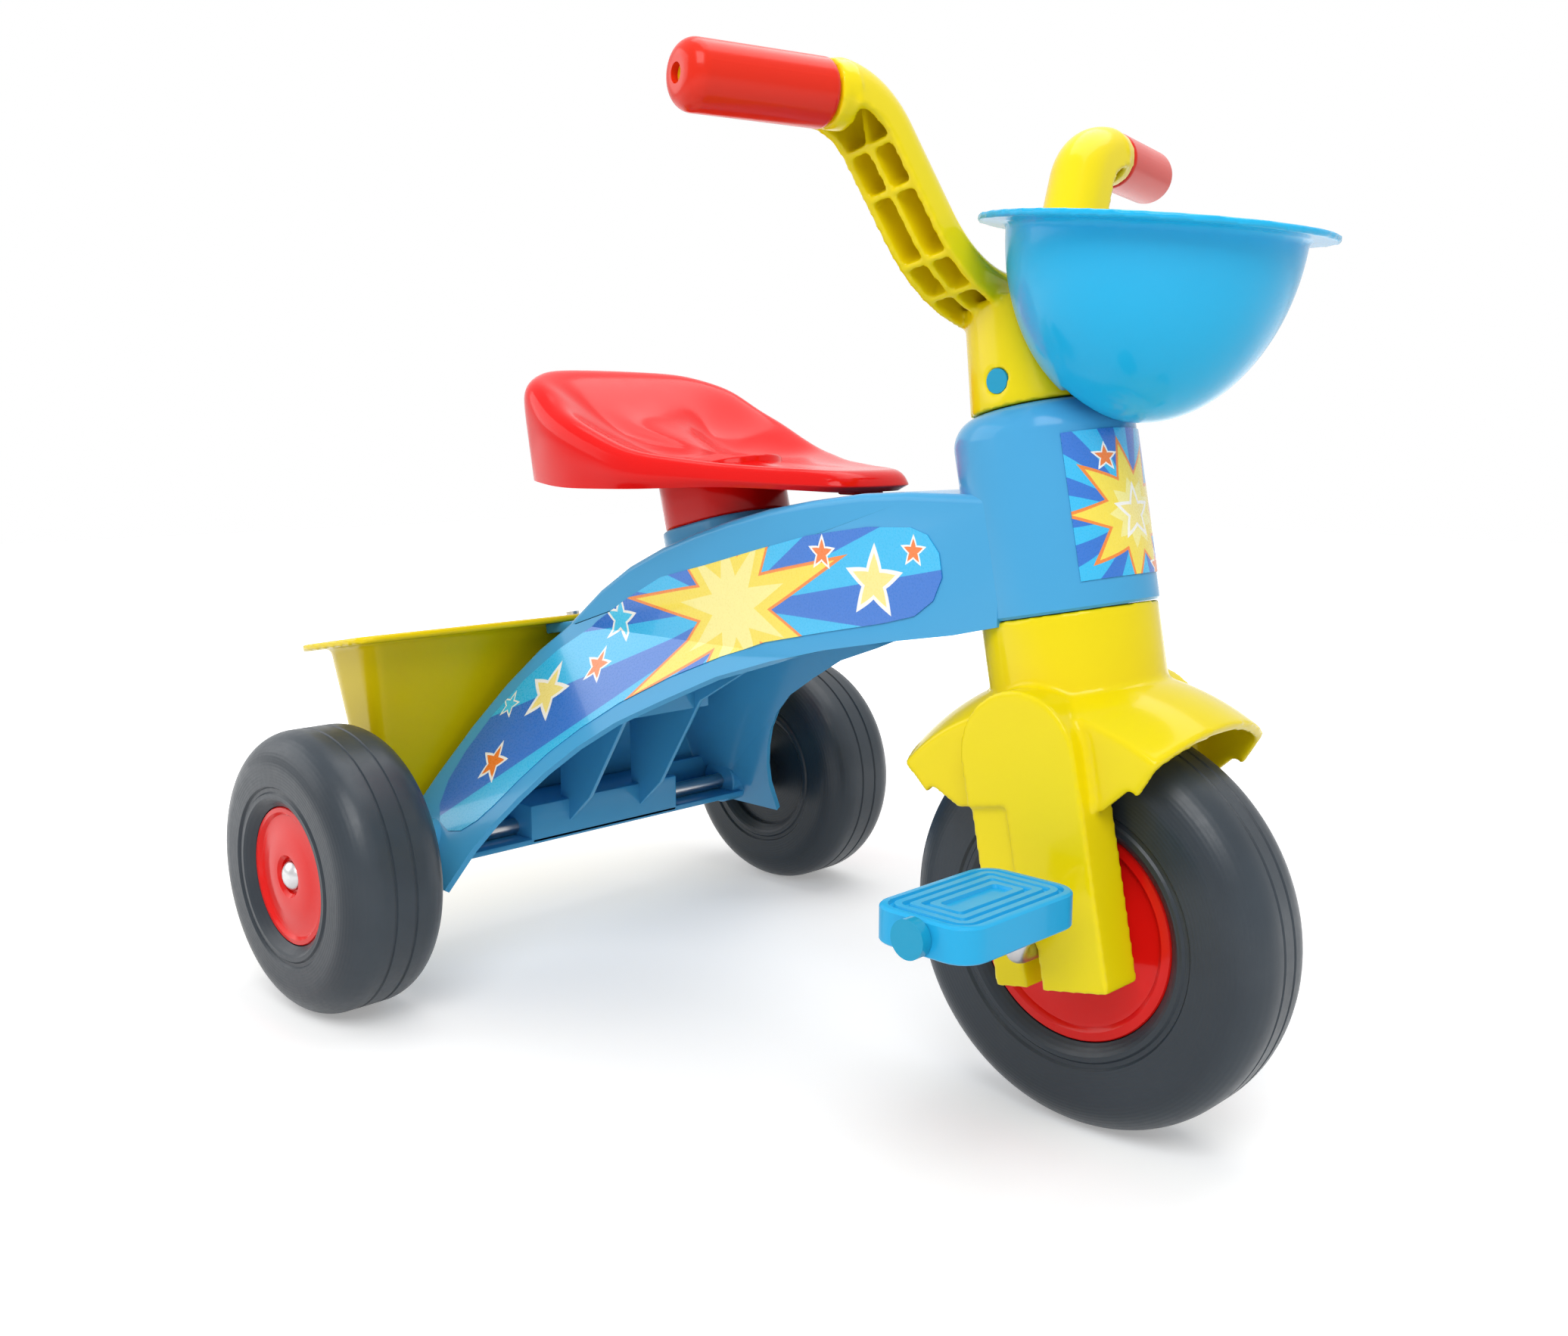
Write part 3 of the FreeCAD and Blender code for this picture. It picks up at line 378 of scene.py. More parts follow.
def star_group():
    """A mask that is 1 inside a star: its corners are set by the reach between two radii."""
    group, start, end = new_group(
        "star mask",
        [("Across", "NodeSocketFloat", 0.0), ("Up", "NodeSocketFloat", 0.0),
         ("Points", "NodeSocketFloat", 5.0), ("Inner", "NodeSocketFloat", 0.4),
         ("Outer", "NodeSocketFloat", 1.0), ("Turn", "NodeSocketFloat", 0.0)],
        [("Mask", "NodeSocketFloat"), ("Angle", "NodeSocketFloat")])
    across, up = start.outputs["Across"], start.outputs["Up"]
    out = math_node(group, "SQRT", math_node(group, "ADD",
                                             math_node(group, "MULTIPLY", across, across),
                                             math_node(group, "MULTIPLY", up, up)))
    angle = math_node(group, "ADD", math_node(group, "ARCTAN2", across, up), start.outputs["Turn"])
    turns = math_node(group, "DIVIDE", math_node(group, "MULTIPLY", angle, start.outputs["Points"]),
                      math.tau)
    wave = math_node(group, "MULTIPLY", math_node(group, "PINGPONG", turns, 0.5), 2.0)
    # straight sides: one over the radius runs evenly from a corner to the notch beside it
    near = math_node(group, "DIVIDE", 1.0, start.outputs["Inner"])
    far = math_node(group, "DIVIDE", 1.0, start.outputs["Outer"])
    slope = math_node(group, "MULTIPLY", wave, math_node(group, "SUBTRACT", near, far))
    edge = math_node(group, "DIVIDE", 1.0, math_node(group, "ADD", far, slope))
    group.links.new(math_node(group, "LESS_THAN", out, edge), end.inputs["Mask"])
    group.links.new(angle, end.inputs["Angle"])
    return group


STAR = star_group()


def star(tree, across, up, middle, inner, outer, points=5.0, turn=0.0):
    """A star's mask with its middle at a place on the two axes."""
    item = tree.nodes.new("ShaderNodeGroup")
    item.node_tree = STAR
    tree.links.new(math_node(tree, "SUBTRACT", across, middle[0]), item.inputs["Across"])
    tree.links.new(math_node(tree, "SUBTRACT", up, middle[1]), item.inputs["Up"])
    for label, value in (("Points", points), ("Inner", inner), ("Outer", outer), ("Turn", turn)):
        item.inputs[label].default_value = value
    return item.outputs["Mask"], item.outputs["Angle"]


def printed_film(name, axes, middle, burst, small_stars, slope=0.0):
    """A printed sticker: blue rays, a yellow burst with an orange edge, and a few small stars."""
    material, tree, shader, where = new_material(name)
    parts = tree.nodes.new("ShaderNodeSeparateXYZ")
    tree.links.new(where, parts.inputs[0])
    across, up = parts.outputs[axes[0]], parts.outputs[axes[1]]
    if slope:
        up = math_node(tree, "SUBTRACT", up, math_node(tree, "MULTIPLY", across, slope))
    edge_mask, angle = star(tree, across, up, middle, burst[0] * 1.12, burst[1] * 1.12, 9.0, 0.2)
    fill_mask = star(tree, across, up, middle, burst[0], burst[1], 9.0, 0.2)[0]
    core_mask = star(tree, across, up, middle, burst[0] * 0.62, burst[1] * 0.52, 9.0, 0.2)[0]
    ray = math_node(tree, "GREATER_THAN",
                    math_node(tree, "SINE", math_node(tree, "MULTIPLY", angle, 14.0)), 0.0)
    picture = mix_node(tree, ray, (0.008, 0.16, 0.62, 1), (0.015, 0.50, 0.86, 1))
    picture = mix_node(tree, edge_mask, picture, (0.90, 0.24, 0.02, 1))
    picture = mix_node(tree, fill_mask, picture, (0.93, 0.74, 0.06, 1))
    picture = mix_node(tree, core_mask, picture, (0.96, 0.86, 0.28, 1))
    for place, size, colour in small_stars:
        rim = star(tree, across, up, place, size * 0.58, size * 1.35, 5.0)[0]
        picture = mix_node(tree, rim, picture, (0.95, 0.93, 0.88, 1))
        picture = mix_node(tree, star(tree, across, up, place, size * 0.42, size, 5.0)[0],
                           picture, (*colour, 1))
    grain = noise_node(tree, where, 900.0, 2.0)
    picture = mix_node(tree, math_node(tree, "MULTIPLY", grain, 0.08), picture, (0.2, 0.2, 0.25, 1))
    tree.links.new(picture, shader.inputs["Base Color"])
    tree.links.new(math_node(tree, "ADD", math_node(tree, "MULTIPLY", grain, 0.12), 0.22),
                   shader.inputs["Roughness"])
    shader.inputs["Coat Weight"].default_value = 0.4
    add_bump(tree, shader, grain, 0.0001, 0.1)
    return material


YELLOW = moulded("yellow plastic", (0.86, 0.70, 0.003), (0.74, 0.50, 0.001))
TUB_YELLOW = moulded("tub yellow plastic", (0.82, 0.64, 0.003), (0.70, 0.44, 0.001), 0.20)
BLUE = moulded("frame blue plastic", (0.070, 0.38, 0.68), (0.040, 0.28, 0.57))
BOWL_BLUE = moulded("bowl blue plastic", (0.015, 0.47, 0.82), (0.010, 0.35, 0.70))
PEDAL_BLUE = moulded("pedal blue plastic", (0.018, 0.42, 0.76), (0.012, 0.31, 0.62), 0.26)
PLUG_BLUE = moulded("plug blue plastic", (0.012, 0.34, 0.56), (0.006, 0.23, 0.44))
SEAT_RED = moulded("seat red plastic", (0.78, 0.006, 0.005), (0.60, 0.003, 0.003), 0.10, 0.03)
HUB_RED = moulded("hub red plastic", (0.76, 0.009, 0.006), (0.58, 0.004, 0.004))
GRIP_RED = moulded("grip red plastic", (0.76, 0.024, 0.006), (0.58, 0.010, 0.004), 0.18)
STEEL = steel("axle steel", (0.62, 0.62, 0.63), 0.22)
FRONT_TYRE = tyre_plastic("front tyre plastic", FRONT_AXLE, 0.094)
REAR_TYRE = tyre_plastic("rear tyre plastic", REAR_AXLE, 0.0785)
ORANGE, CREAM, CYAN = (0.90, 0.20, 0.02), (0.95, 0.80, 0.25), (0.05, 0.60, 0.90)
SIDE_FILM = printed_film("side sticker film", ("X", "Z"), (-0.020, 0.2265), (0.026, 0.078), (
    ((-0.168, 0.128), 0.009, ORANGE), ((-0.150, 0.168), 0.013, CREAM),
    ((-0.118, 0.186), 0.008, ORANGE), ((-0.112, 0.212), 0.011, CYAN),
    ((0.044, 0.258), 0.007, ORANGE), ((0.078, 0.246), 0.014, CREAM), ((0.102, 0.262), 0.006, ORANGE),
    ((-0.178, 0.158), 0.006, CYAN)))
HEAD_FILM = printed_film("head sticker film", ("Y", "Z"), (0.0, 0.282), (0.016, 0.030), (
    ((-0.014, 0.306), 0.005, ORANGE), ((0.015, 0.258), 0.006, ORANGE), ((0.0, 0.282), 0.010, CREAM)))

CAD_FINISH = {
    "axle_keeper": YELLOW, "bowl": BOWL_BLUE, "bowl_screw": STEEL, "crank": STEEL, "fork": YELLOW,
    "frame_body": BLUE, "front_hub": HUB_RED, "front_tyre": FRONT_TYRE, "grip": GRIP_RED,
    "handlebar": YELLOW, "pedal": PEDAL_BLUE, "pedal_cap": PLUG_BLUE, "rear_axle": STEEL,
    "rear_axle_cap": STEEL, "rear_hub": HUB_RED, "rear_tyre": REAR_TYRE, "rear_washer": STEEL,
    "seat": SEAT_RED, "seat_screw": STEEL, "stem_pin": PLUG_BLUE, "tub": TUB_YELLOW,
    "tub_screw": STEEL,
}
for name, item in NODES.items():
    kind = name
    while kind not in CAD_FINISH:
        kind = kind.rsplit("_", 1)[0]
    for slot in item.material_slots:
        slot.material = CAD_FINISH[kind]


# ------------------------------------------------------------------------------- frame moulding

def half_width(height):
    """Half the frame's outside width at a height: upright walls that flare towards the feet."""
    drop = max(FOLD_HEIGHT - height, 0.0) / (FOLD_HEIGHT - FOOT_HEIGHT)
    return BEAM_HALF + drop * (FOOT_HALF - BEAM_HALF)


TOP_LINE = [(0.150, 0.289), (0.097, 0.289), (0.068, 0.2875), (0.034, 0.283), (0.005, 0.278),
            (-0.024, 0.271), (-0.050, 0.2635), (-0.078, 0.254), (-0.106, 0.242), (-0.132, 0.227),
            (-0.158, 0.208), (-0.178, 0.189), (-0.193, 0.168), (-0.206, 0.143), (-0.217, 0.115),
            (-0.226, 0.086)]
LOW_LINE = [(-0.228, 0.063), (-0.1575, 0.063), (-0.151, 0.085), (-0.143, 0.100), (-0.1325, 0.115),
            (-0.120, 0.130), (-0.104, 0.145), (-0.083, 0.160), (-0.054, 0.175), (-0.023, 0.190),
            (0.010, 0.201), (0.045, 0.210), (0.085, 0.218), (0.125, 0.225), (0.150, 0.231)]


def frame_shell():
    """The arched beam: a rounded crown on two walls, open below."""
    wide = 0.30
    side = block("beam", [(x, -wide / 2, z) for x, z in TOP_LINE + LOW_LINE], (0, wide, 0))
    front = block("beam_front", [
        (-0.3, -FOOT_HALF, FOOT_HEIGHT), (-0.3, FOOT_HALF, FOOT_HEIGHT),
        (-0.3, BEAM_HALF, FOLD_HEIGHT), (-0.3, BEAM_HALF, 0.32),
        (-0.3, -BEAM_HALF, 0.32), (-0.3, -BEAM_HALF, FOLD_HEIGHT)], (0.6, 0, 0))
    applied(side, "BOOLEAN", object=front, operation="INTERSECT", solver="EXACT")
    bpy.data.objects.remove(front)

    def crown(first, second):
        """Edges between the top face and the walls."""
        middle = (first + second) / 2
        along = abs(first.x - second.x) > 0.002 or abs(first.z - second.z) > 0.01
        on_wall = abs(abs(middle.y) - half_width(middle.z)) < 0.0012
        return along and on_wall and abs(first.y - second.y) < 0.03 and above_line(middle)

    pick(side, "edges", crown)
    bpy.ops.mesh.bevel(offset=0.0115, segments=6, profile=0.5, clamp_overlap=True)
    bpy.ops.object.mode_set(mode="OBJECT")
    pick(side, "faces", lambda centre, normal: normal.z < -0.2 and not above_line(centre))
    bpy.ops.mesh.delete(type="FACE")
    bpy.ops.object.mode_set(mode="OBJECT")
    pick(side, "faces", lambda centre, normal: normal.x > 0.5 and centre.x < 0.0 or normal.x > 0.95)
    bpy.ops.mesh.delete(type="FACE")
    bpy.ops.object.mode_set(mode="OBJECT")
    applied(side, "SOLIDIFY", thickness=0.0035, offset=-1.0, use_even_offset=True)
    return side


def above_line(point):
    """Whether a point is nearer the top line than the low line."""
    def height(line):
        ordered = sorted(line)
        for (x0, z0), (x1, z1) in zip(ordered, ordered[1:]):
            if x0 <= point.x <= x1:
                return z0 + (z1 - z0) * (point.x - x0) / max(x1 - x0, 1e-6)
        return ordered[0][1] if point.x < ordered[0][0] else ordered[-1][1]
    return abs(point.z - height(TOP_LINE)) < abs(point.z - height(LOW_LINE))


# ------------------------------------------------------------------------- camera, light, stage

def stage():
    deselect()
    bpy.ops.mesh.primitive_plane_add(size=8.0)
    floor = bpy.context.object
    floor.name = "floor"
    material, tree, shader, where = new_material("pale floor")
    shader.inputs["Base Color"].default_value = (0.80, 0.80, 0.80, 1)
    shader.inputs["Roughness"].default_value = 0.6
    light = tree.nodes.new("ShaderNodeLightPath")
    seen = math_node(tree, "MAXIMUM", light.outputs["Is Camera Ray"],
                     math_node(tree, "MAXIMUM", light.outputs["Is Glossy Ray"],
                               light.outputs["Is Transmission Ray"]))
    # the floor fades to plain white away from the tricycle, where no shadow falls
    away = tree.nodes.new("ShaderNodeVectorMath")
    away.operation = "LENGTH"
    tree.links.new(where, away.inputs[0])
    fade = tree.nodes.new("ShaderNodeMapRange")
    for label, value in (("From Min", 0.35), ("From Max", 1.1), ("To Min", 0.30), ("To Max", 1.0)):
        fade.inputs[label].default_value = value
    tree.links.new(away.outputs["Value"], fade.inputs["Value"])
    shader.inputs["Emission Color"].default_value = (1, 1, 1, 1)
    tree.links.new(math_node(tree, "MULTIPLY", seen, fade.outputs["Result"]),
                   shader.inputs["Emission Strength"])
    floor.data.materials.append(material)

    world = bpy.data.worlds.new("studio")
    bpy.context.scene.world = world
    world.use_nodes = True
    nodes, links = world.node_tree.nodes, world.node_tree.links
    path = nodes.new("ShaderNodeLightPath")
    seen = math_node(world.node_tree, "MAXIMUM", path.outputs["Is Camera Ray"],
                     math_node(world.node_tree, "MAXIMUM", path.outputs["Is Glossy Ray"],
                               path.outputs["Is Transmission Ray"]))
    back = nodes["Background"]
    back.inputs["Color"].default_value = (1, 1, 1, 1)
    links.new(math_node(world.node_tree, "ADD", math_node(world.node_tree, "MULTIPLY", seen, 0.5),
                        0.5), back.inputs["Strength"])


def lamp(name, place, target, size, power):
    data = bpy.data.lights.new(name, "AREA")
    data.shape = "RECTANGLE"
    data.size, data.size_y = size
    data.energy = power
    item = bpy.data.objects.new(name, data)
    bpy.context.collection.objects.link(item)
    item.location = place
    item.rotation_euler = (Vector(target) - Vector(place)).to_track_quat("-Z", "Y").to_euler()


def camera():
    data = bpy.data.cameras.new("camera")
    data.sensor_width = 36.0
    data.lens = 34.22
    item = bpy.data.objects.new("camera", data)
    bpy.context.collection.objects.link(item)
    item.location = (0.5429, -0.5706, 0.3165)
    look = Vector((-0.022, 0.0, 0.1892)) - item.location
    item.rotation_euler = look.to_track_quat("-Z", "Y").to_euler()
    bpy.context.scene.camera = item


def slab(name, low, high, edge=0.0008, place=None):
    """A moulded block with eased edges, between two corners, in its own place."""
    low, high = Vector(low), Vector(high)
    deselect()
    bpy.ops.mesh.primitive_cube_add(size=1.0, location=(low + high) / 2)
    piece = bpy.context.object
    piece.name = name
    piece.scale = high - low
    bpy.ops.object.transform_apply(location=True, rotation=True, scale=True)
    if place is not None:
        piece.data.transform(place)
    bpy.ops.object.mode_set(mode="EDIT")
    bpy.ops.mesh.select_all(action="SELECT")
    bpy.ops.mesh.bevel(offset=edge, segments=2)
    bpy.ops.object.mode_set(mode="OBJECT")
    return smooth(piece)


def oval(length, width, height, place):
    """The outline of a slot shape on a tilted plane."""
    reach, radius = (length - width) / 2, width / 2
    points = [(reach + x, y) for x, y in arc((0, 0), radius, -90, 90, 20)]
    points += [(x - reach, y) for x, y in arc((0, 0), radius, 90, 270, 20)]
    return [place @ Vector((x, y, height)) for x, y in points]


def post(name, length, width, low, high, edge=0.0015):
    """An upright oval post on the frame's tilted seat ledge."""
    piece = block(name, oval(length, width, low, SEAT_FOOT),
                  SEAT_FOOT.to_3x3() @ Vector((0, 0, high - low)))
    return smooth(rounded_edges(piece, edge))


def frame_pieces():
    """The parts that are moulded in one with the beam."""
    axis = COLUMN.to_3x3() @ Vector((0, 0, 1))
    middle = COLUMN.translation
    head_line = [(0.0241, 0.0), (0.0398, 0.0), (0.041, 0.0012), (0.041, 0.079)]
    head_line += arc((0.027, 0.079), 0.014, 0, 90, 10)[1:] + [(0.0241, 0.093)]
    head = smooth(turned("head", head_line, middle, axis, 128))
    seat_foot = post("seat_ledge", 0.081, 0.060, -0.024, 0.0)
    pieces = [head, seat_foot]

    x, low = REAR_AXLE.x, 0.070
    pieces.append(slab("carrier_floor", (x - 0.018, -0.119, low), (x + 0.018, 0.119, low + 0.0035)))
    pieces.append(slab("carrier_back", (x - 0.018, -0.119, low), (x - 0.0145, 0.119, low + 0.024)))
    pieces.append(slab("carrier_middle", (x - 0.018, -0.058, low), (x + 0.018, 0.058, low + 0.024),
                       0.0015))
    for name, side in SIDES.items():
        start, end = 0.112, 0.1487
        ring = [(0.0051, start), (0.0142, start), (0.015, start + 0.0008), (0.015, end - 0.0012),
                (0.0138, end), (0.0051, end)]
        pieces.append(smooth(turned("axle_boss_" + name, ring, REAR_AXLE, (0, side, 0), 64)))
        y = side * 0.028
        rib = block("long_rib_" + name, [(px, y - 0.0015, pz) for px, pz in (
            (x + 0.010, 0.073), (x + 0.038, 0.098), (x + 0.076, 0.155), (x + 0.140, 0.191),
            (0.100, 0.231), (0.100, 0.281), (0.005, 0.273), (-0.078, 0.250), (-0.150, 0.206),
            (x + 0.008, 0.165))], (0, 0.003, 0))
        pieces.append(smooth(rounded_edges(rib, 0.0005, 2)))
    for along, bottom, top in ((x + 0.070, 0.150, 0.199), (-0.060, 0.190, 0.244),
                               (0.020, 0.225, 0.269)):
        pieces.append(slab("cross_rib", (along - 0.0015, -0.038, bottom),
                           (along + 0.0015, 0.038, top), 0.0005))
    pieces.append(slab("tub_ledge", (-0.018, -0.030, -0.010), (0.028, 0.030, -0.004), 0.001,
                       TUB_PLACE))
    pieces.append(slab("tub_shelf", (-0.092, -0.036, -0.117), (-0.036, 0.036, -0.112), 0.001,
                       TUB_PLACE))
    return pieces


# --------------------------------------------------------------------------------------- seat

SEAT_BACK, SEAT_NOSE = -0.172, 0.049
# how far along, half the width, the foot's and the rim's heights and how deep the dish is
SEAT_LINE = ((0.0, 0.054, 0.2915, 0.3525, 0.008), (0.10, 0.078, 0.2895, 0.3445, 0.014),
             (0.28, 0.086, 0.2865, 0.3240, 0.016), (0.50, 0.078, 0.2870, 0.3065, 0.010),
             (0.72, 0.053, 0.2890, 0.3005, 0.005), (0.90, 0.035, 0.2875, 0.2985, 0.003),
             (1.0, 0.026, 0.2865, 0.2975, 0.002))


def eased(column_index, along):
    """A smooth value between the seat's stations."""
    along = min(max(along, 0.0), 1.0)
    for first, second in zip(SEAT_LINE, SEAT_LINE[1:]):
        if along <= second[0]:
            share = (along - first[0]) / (second[0] - first[0])
            share = (share * share * (3 - 2 * share) + share) / 2
            return first[column_index] + (second[column_index] - first[column_index]) * share
    return SEAT_LINE[-1][column_index]


def seat_plan():
    """The seat's outline from above as (x, y, how far along)."""
    right = []
    for step in range(17):
        along = 0.5 + 0.5 * math.cos(math.pi * step / 16)
        width = eased(1, along) * (1 - (1 - math.sin(math.pi * step / 16)) ** 9)
        right.append((SEAT_BACK + (SEAT_NOSE - SEAT_BACK) * along, width, along))
    return right[:-1] + [(x, -width, along) for x, width, along in right[::-1][:-1]]


def seat_shell():
    """A moulded saddle: a tall skirt, a rolled rim and a dished top, open below."""
    rings = []
    # drawn in from the outline, below the rim, share of the dish; the first ring is the foot
    for inset, below, share in ((0.004, None, 0), (0.0, 0.016, 0), (0.0, 0.008, 0), (0.002, 0.003, 0),
                                (0.006, 0.0, 0), (0.011, 0.0, 0.02), (0.018, 0.0, 0.22),
                                (0.030, 0.0, 0.58), (0.046, 0.0, 0.85), (0.064, 0.0, 0.98)):
        ring = []
        for x, y, along in seat_plan():
            foot, rim, dish = (eased(index, along) for index in (2, 3, 4))
            shrink = 1 - inset / 0.086
            inner_x = x + (-0.082 - x) * inset / 0.100
            if below is None:
                height = foot
            else:
                blend = min(1.0, share * 1.25)
                near = eased(3, (inner_x - SEAT_BACK) / (SEAT_NOSE - SEAT_BACK))
                height = rim + (near - rim) * blend - share * dish - min(below, 0.75 * (rim - foot))
            ring.append(Vector((inner_x, y * shrink, height)))
        rings.append(ring)
    shell = ringed("seat_shell", rings)
    applied(shell, "SUBSURF", levels=2, render_levels=2)
    applied(shell, "SOLIDIFY", thickness=0.0032, offset=-1.0)
    return smooth(shell, 50)


# --------------------------------------------------------------------------------------- wheels

def tyre_line(width, radius, seat, shoulder, grooves, inner):
    """A tyre's half section: a flat side with a raised bead, a rolled shoulder and a tread."""
    half = width / 2
    line = [(seat, half - 0.005), (seat + 0.0035, half - 0.0012), (seat + 0.0052, half - 0.0002),
            (seat + 0.0075, half - 0.0002), (seat + 0.0085, half - 0.0012),
            (seat + 0.0105, half - 0.0012), (seat + 0.0115, half)]
    line += arc((radius - shoulder, half - shoulder), shoulder, 90, 4, 14)
    for place in grooves:
        line += [(radius, place + 0.0010), (radius - 0.0008, place + 0.0005),
                 (radius - 0.0008, place - 0.0005), (radius, place - 0.0010)]
    line = [(r, a) for r, a in line]
    mirrored = [(r, -a) for r, a in reversed(line)]
    return line + mirrored + inner


def front_tyre_and_hubs():
    tyre = turned("front_tyre_skin", tyre_line(0.052, 0.094, 0.051, 0.019, (0.0045,), []),
                  FRONT_AXLE, (0, 1, 0), 144)
    finish_piece(smooth(tyre, 25), FRONT_TYRE, "front_wheel", "tyre", "front_tyre")
    for name, side in SIDES.items():
        line = [(0.0051, 0.0004), (0.0506, 0.0004), (0.0506, 0.0205), (0.0500, 0.0212),
                (0.0462, 0.0216), (0.0450, 0.0208), (0.0440, 0.0196), (0.0420, 0.0192),
                (0.0330, 0.0212), (0.0240, 0.0236), (0.0170, 0.0248), (0.0125, 0.0252),
                (0.0110, 0.0262), (0.0100, 0.0300), (0.0092, 0.0306), (0.0051, 0.0306)]
        hub = turned("front_hub_disc_" + name, line, FRONT_AXLE, (0, side, 0), 128)
        finish_piece(smooth(hub, 30), HUB_RED, "front_wheel", "hub", "front_hub_" + name)


def rear_wheels():
    for name, side in SIDES.items():
        centre = REAR_AXLE + Vector((0, side * 0.180, 0))
        body = "rear_wheel_" + name
        inner = [(0.0385, -0.025), (0.0385, -0.022), (0.012, -0.022), (0.012, -0.028),
                 (0.0051, -0.028), (0.0051, 0.0), (0.012, 0.0), (0.012, -0.018), (0.0385, -0.018)]
        line = tyre_line(0.060, 0.0785, 0.0385, 0.019, (0.0060,), inner)
        tyre = turned("rear_tyre_skin_" + name, line, centre, (0, side, 0), 128)
        finish_piece(smooth(tyre, 25), REAR_TYRE, body, "tyre", "rear_tyre_" + name)
        line = [(0.0051, 0.0003), (0.012, 0.0003), (0.012, 0.018), (0.0382, 0.021), (0.0382, 0.0245),
                (0.0376, 0.0252), (0.0352, 0.0254), (0.0344, 0.0246), (0.0336, 0.0236),
                (0.0320, 0.0234), (0.0240, 0.0250), (0.0150, 0.0260), (0.0118, 0.0258),
                (0.0100, 0.0240), (0.0096, 0.0222), (0.0051, 0.0220)]
        hub = turned("rear_hub_disc_" + name, line, centre, (0, side, 0), 112)
        finish_piece(smooth(hub, 30), HUB_RED, body, "hub", "rear_hub_" + name)


# --------------------------------------------------------------------------------------- pedals

def rounded_oblong(half_x, half_y, radius, count=6):
    points = []
    for sign_x, sign_y, start in ((1, 1, 0), (-1, 1, 90), (-1, -1, 180), (1, -1, 270)):
        points += arc((sign_x * (half_x - radius), sign_y * (half_y - radius)), radius,
                      start, start + 90, count)
    return points


def pedals():
    for name, side in SIDES.items():
        low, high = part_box("pedal_" + name)
        middle = (low + high) / 2
        half_x, half_y = (high.x - low.x) / 2, (high.y - low.y) / 2
        rings = []

        def add(inset, height):
            radius = max(0.012 - inset, 0.002)
            rings.append([middle + Vector((x, y, height))
                          for x, y in rounded_oblong(half_x - inset, half_y - inset, radius)])

        def face(sign):
            """Raised treads one inside another, with a groove between each two."""
            steps = [(0.0, 0.0065), (0.0006, 0.0072), (0.0014, 0.0075)]
            for tread in range(4):
                start = 0.0035 + tread * 0.0055
                steps += [(start, 0.0075), (start + 0.0005, 0.0060), (start + 0.0020, 0.0060),
                          (start + 0.0025, 0.0075)]
            return [(inset, sign * height) for inset, height in steps if inset < half_x - 0.003]

        for inset, height in reversed(face(-1)):
            add(inset, height)
        for inset, height in face(1):
            add(inset, height)
        pedal = ringed("pedal_block_" + name, rings)
        bpy.ops.object.mode_set(mode="EDIT")
        bpy.ops.mesh.select_all(action="DESELECT")
        bpy.ops.mesh.select_non_manifold()
        bpy.ops.mesh.edge_face_add()
        tidy(pedal)
        bore = turned("pedal_bore", [(0.0, -0.05), (0.00506, -0.05), (0.00506, 0.05), (0.0, 0.05)],
                      middle, (0, 1, 0), 48)
        applied(pedal, "BOOLEAN", object=bore, operation="DIFFERENCE", solver="EXACT")
        bpy.data.objects.remove(bore)
        finish_piece(smooth(pedal, 30), PEDAL_BLUE, "pedal_" + name, "pedal", "pedal_" + name)


# --------------------------------------------------------------------------------------- stickers

FILM_UPPER = [(0.100, 0.273), (0.073, 0.272), (0.034, 0.266), (-0.002, 0.257), (-0.040, 0.247),
              (-0.077, 0.238), (-0.106, 0.224), (-0.133, 0.209), (-0.158, 0.191), (-0.176, 0.172),
              (-0.190, 0.150), (-0.198, 0.130)]
FILM_REAR = [(-0.201, 0.114), (-0.198, 0.101), (-0.190, 0.093), (-0.179, 0.090), (-0.168, 0.092)]
FILM_LOWER = [(-0.158, 0.099), (-0.150, 0.108), (-0.138, 0.124), (-0.125, 0.139), (-0.108, 0.154),
              (-0.086, 0.170), (-0.057, 0.186), (-0.025, 0.200), (0.004, 0.210), (0.045, 0.219),
              (0.084, 0.227)]
FILM_FRONT = [(0.103, 0.232), (0.114, 0.240), (0.119, 0.251), (0.117, 0.262), (0.110, 0.270)]


def side_stickers():
    outline = FILM_UPPER + FILM_REAR + FILM_LOWER + FILM_FRONT
    for name, side in SIDES.items():
        film = draw("side_sticker_" + name, [(x, 0, z) for x, z in outline], filled=True)
        bpy.ops.mesh.bisect(plane_co=(0, 0, FOLD_HEIGHT), plane_no=(0, 0, 1))
        bpy.ops.object.mode_set(mode="OBJECT")
        for corner in film.data.vertices:
            corner.co.y = side * (half_width(corner.co.z) + 0.0002)
        bpy.ops.object.mode_set(mode="EDIT")
        bpy.ops.mesh.select_all(action="SELECT")
        bpy.ops.mesh.quads_convert_to_tris()
        bpy.ops.mesh.extrude_region_move(TRANSFORM_OT_translate={"value": (0, side * 0.0004, 0)})
        finish_piece(tidy(film), SIDE_FILM, "frame", "blue")


def head_sticker():
    """A curved label on the front of the head."""
    axis = COLUMN.to_3x3() @ Vector((0, 0, 1))
    forward = COLUMN.to_3x3() @ Vector((1, 0, 0))
    turn = Matrix.Rotation(math.radians(46), 3, axis)
    start = turn @ forward
    middle = COLUMN.translation
    film = draw("head_sticker", [middle + start * radius + axis * along for radius, along in (
        (0.0412, 0.012), (0.0416, 0.012), (0.0416, 0.076), (0.0412, 0.076))])
    bpy.ops.mesh.edge_face_add()
    bpy.ops.mesh.spin(steps=30, angle=math.radians(92), center=middle, axis=axis)
    tidy(film)
    finish_piece(smooth(film, 30), HEAD_FILM, "frame", "blue")


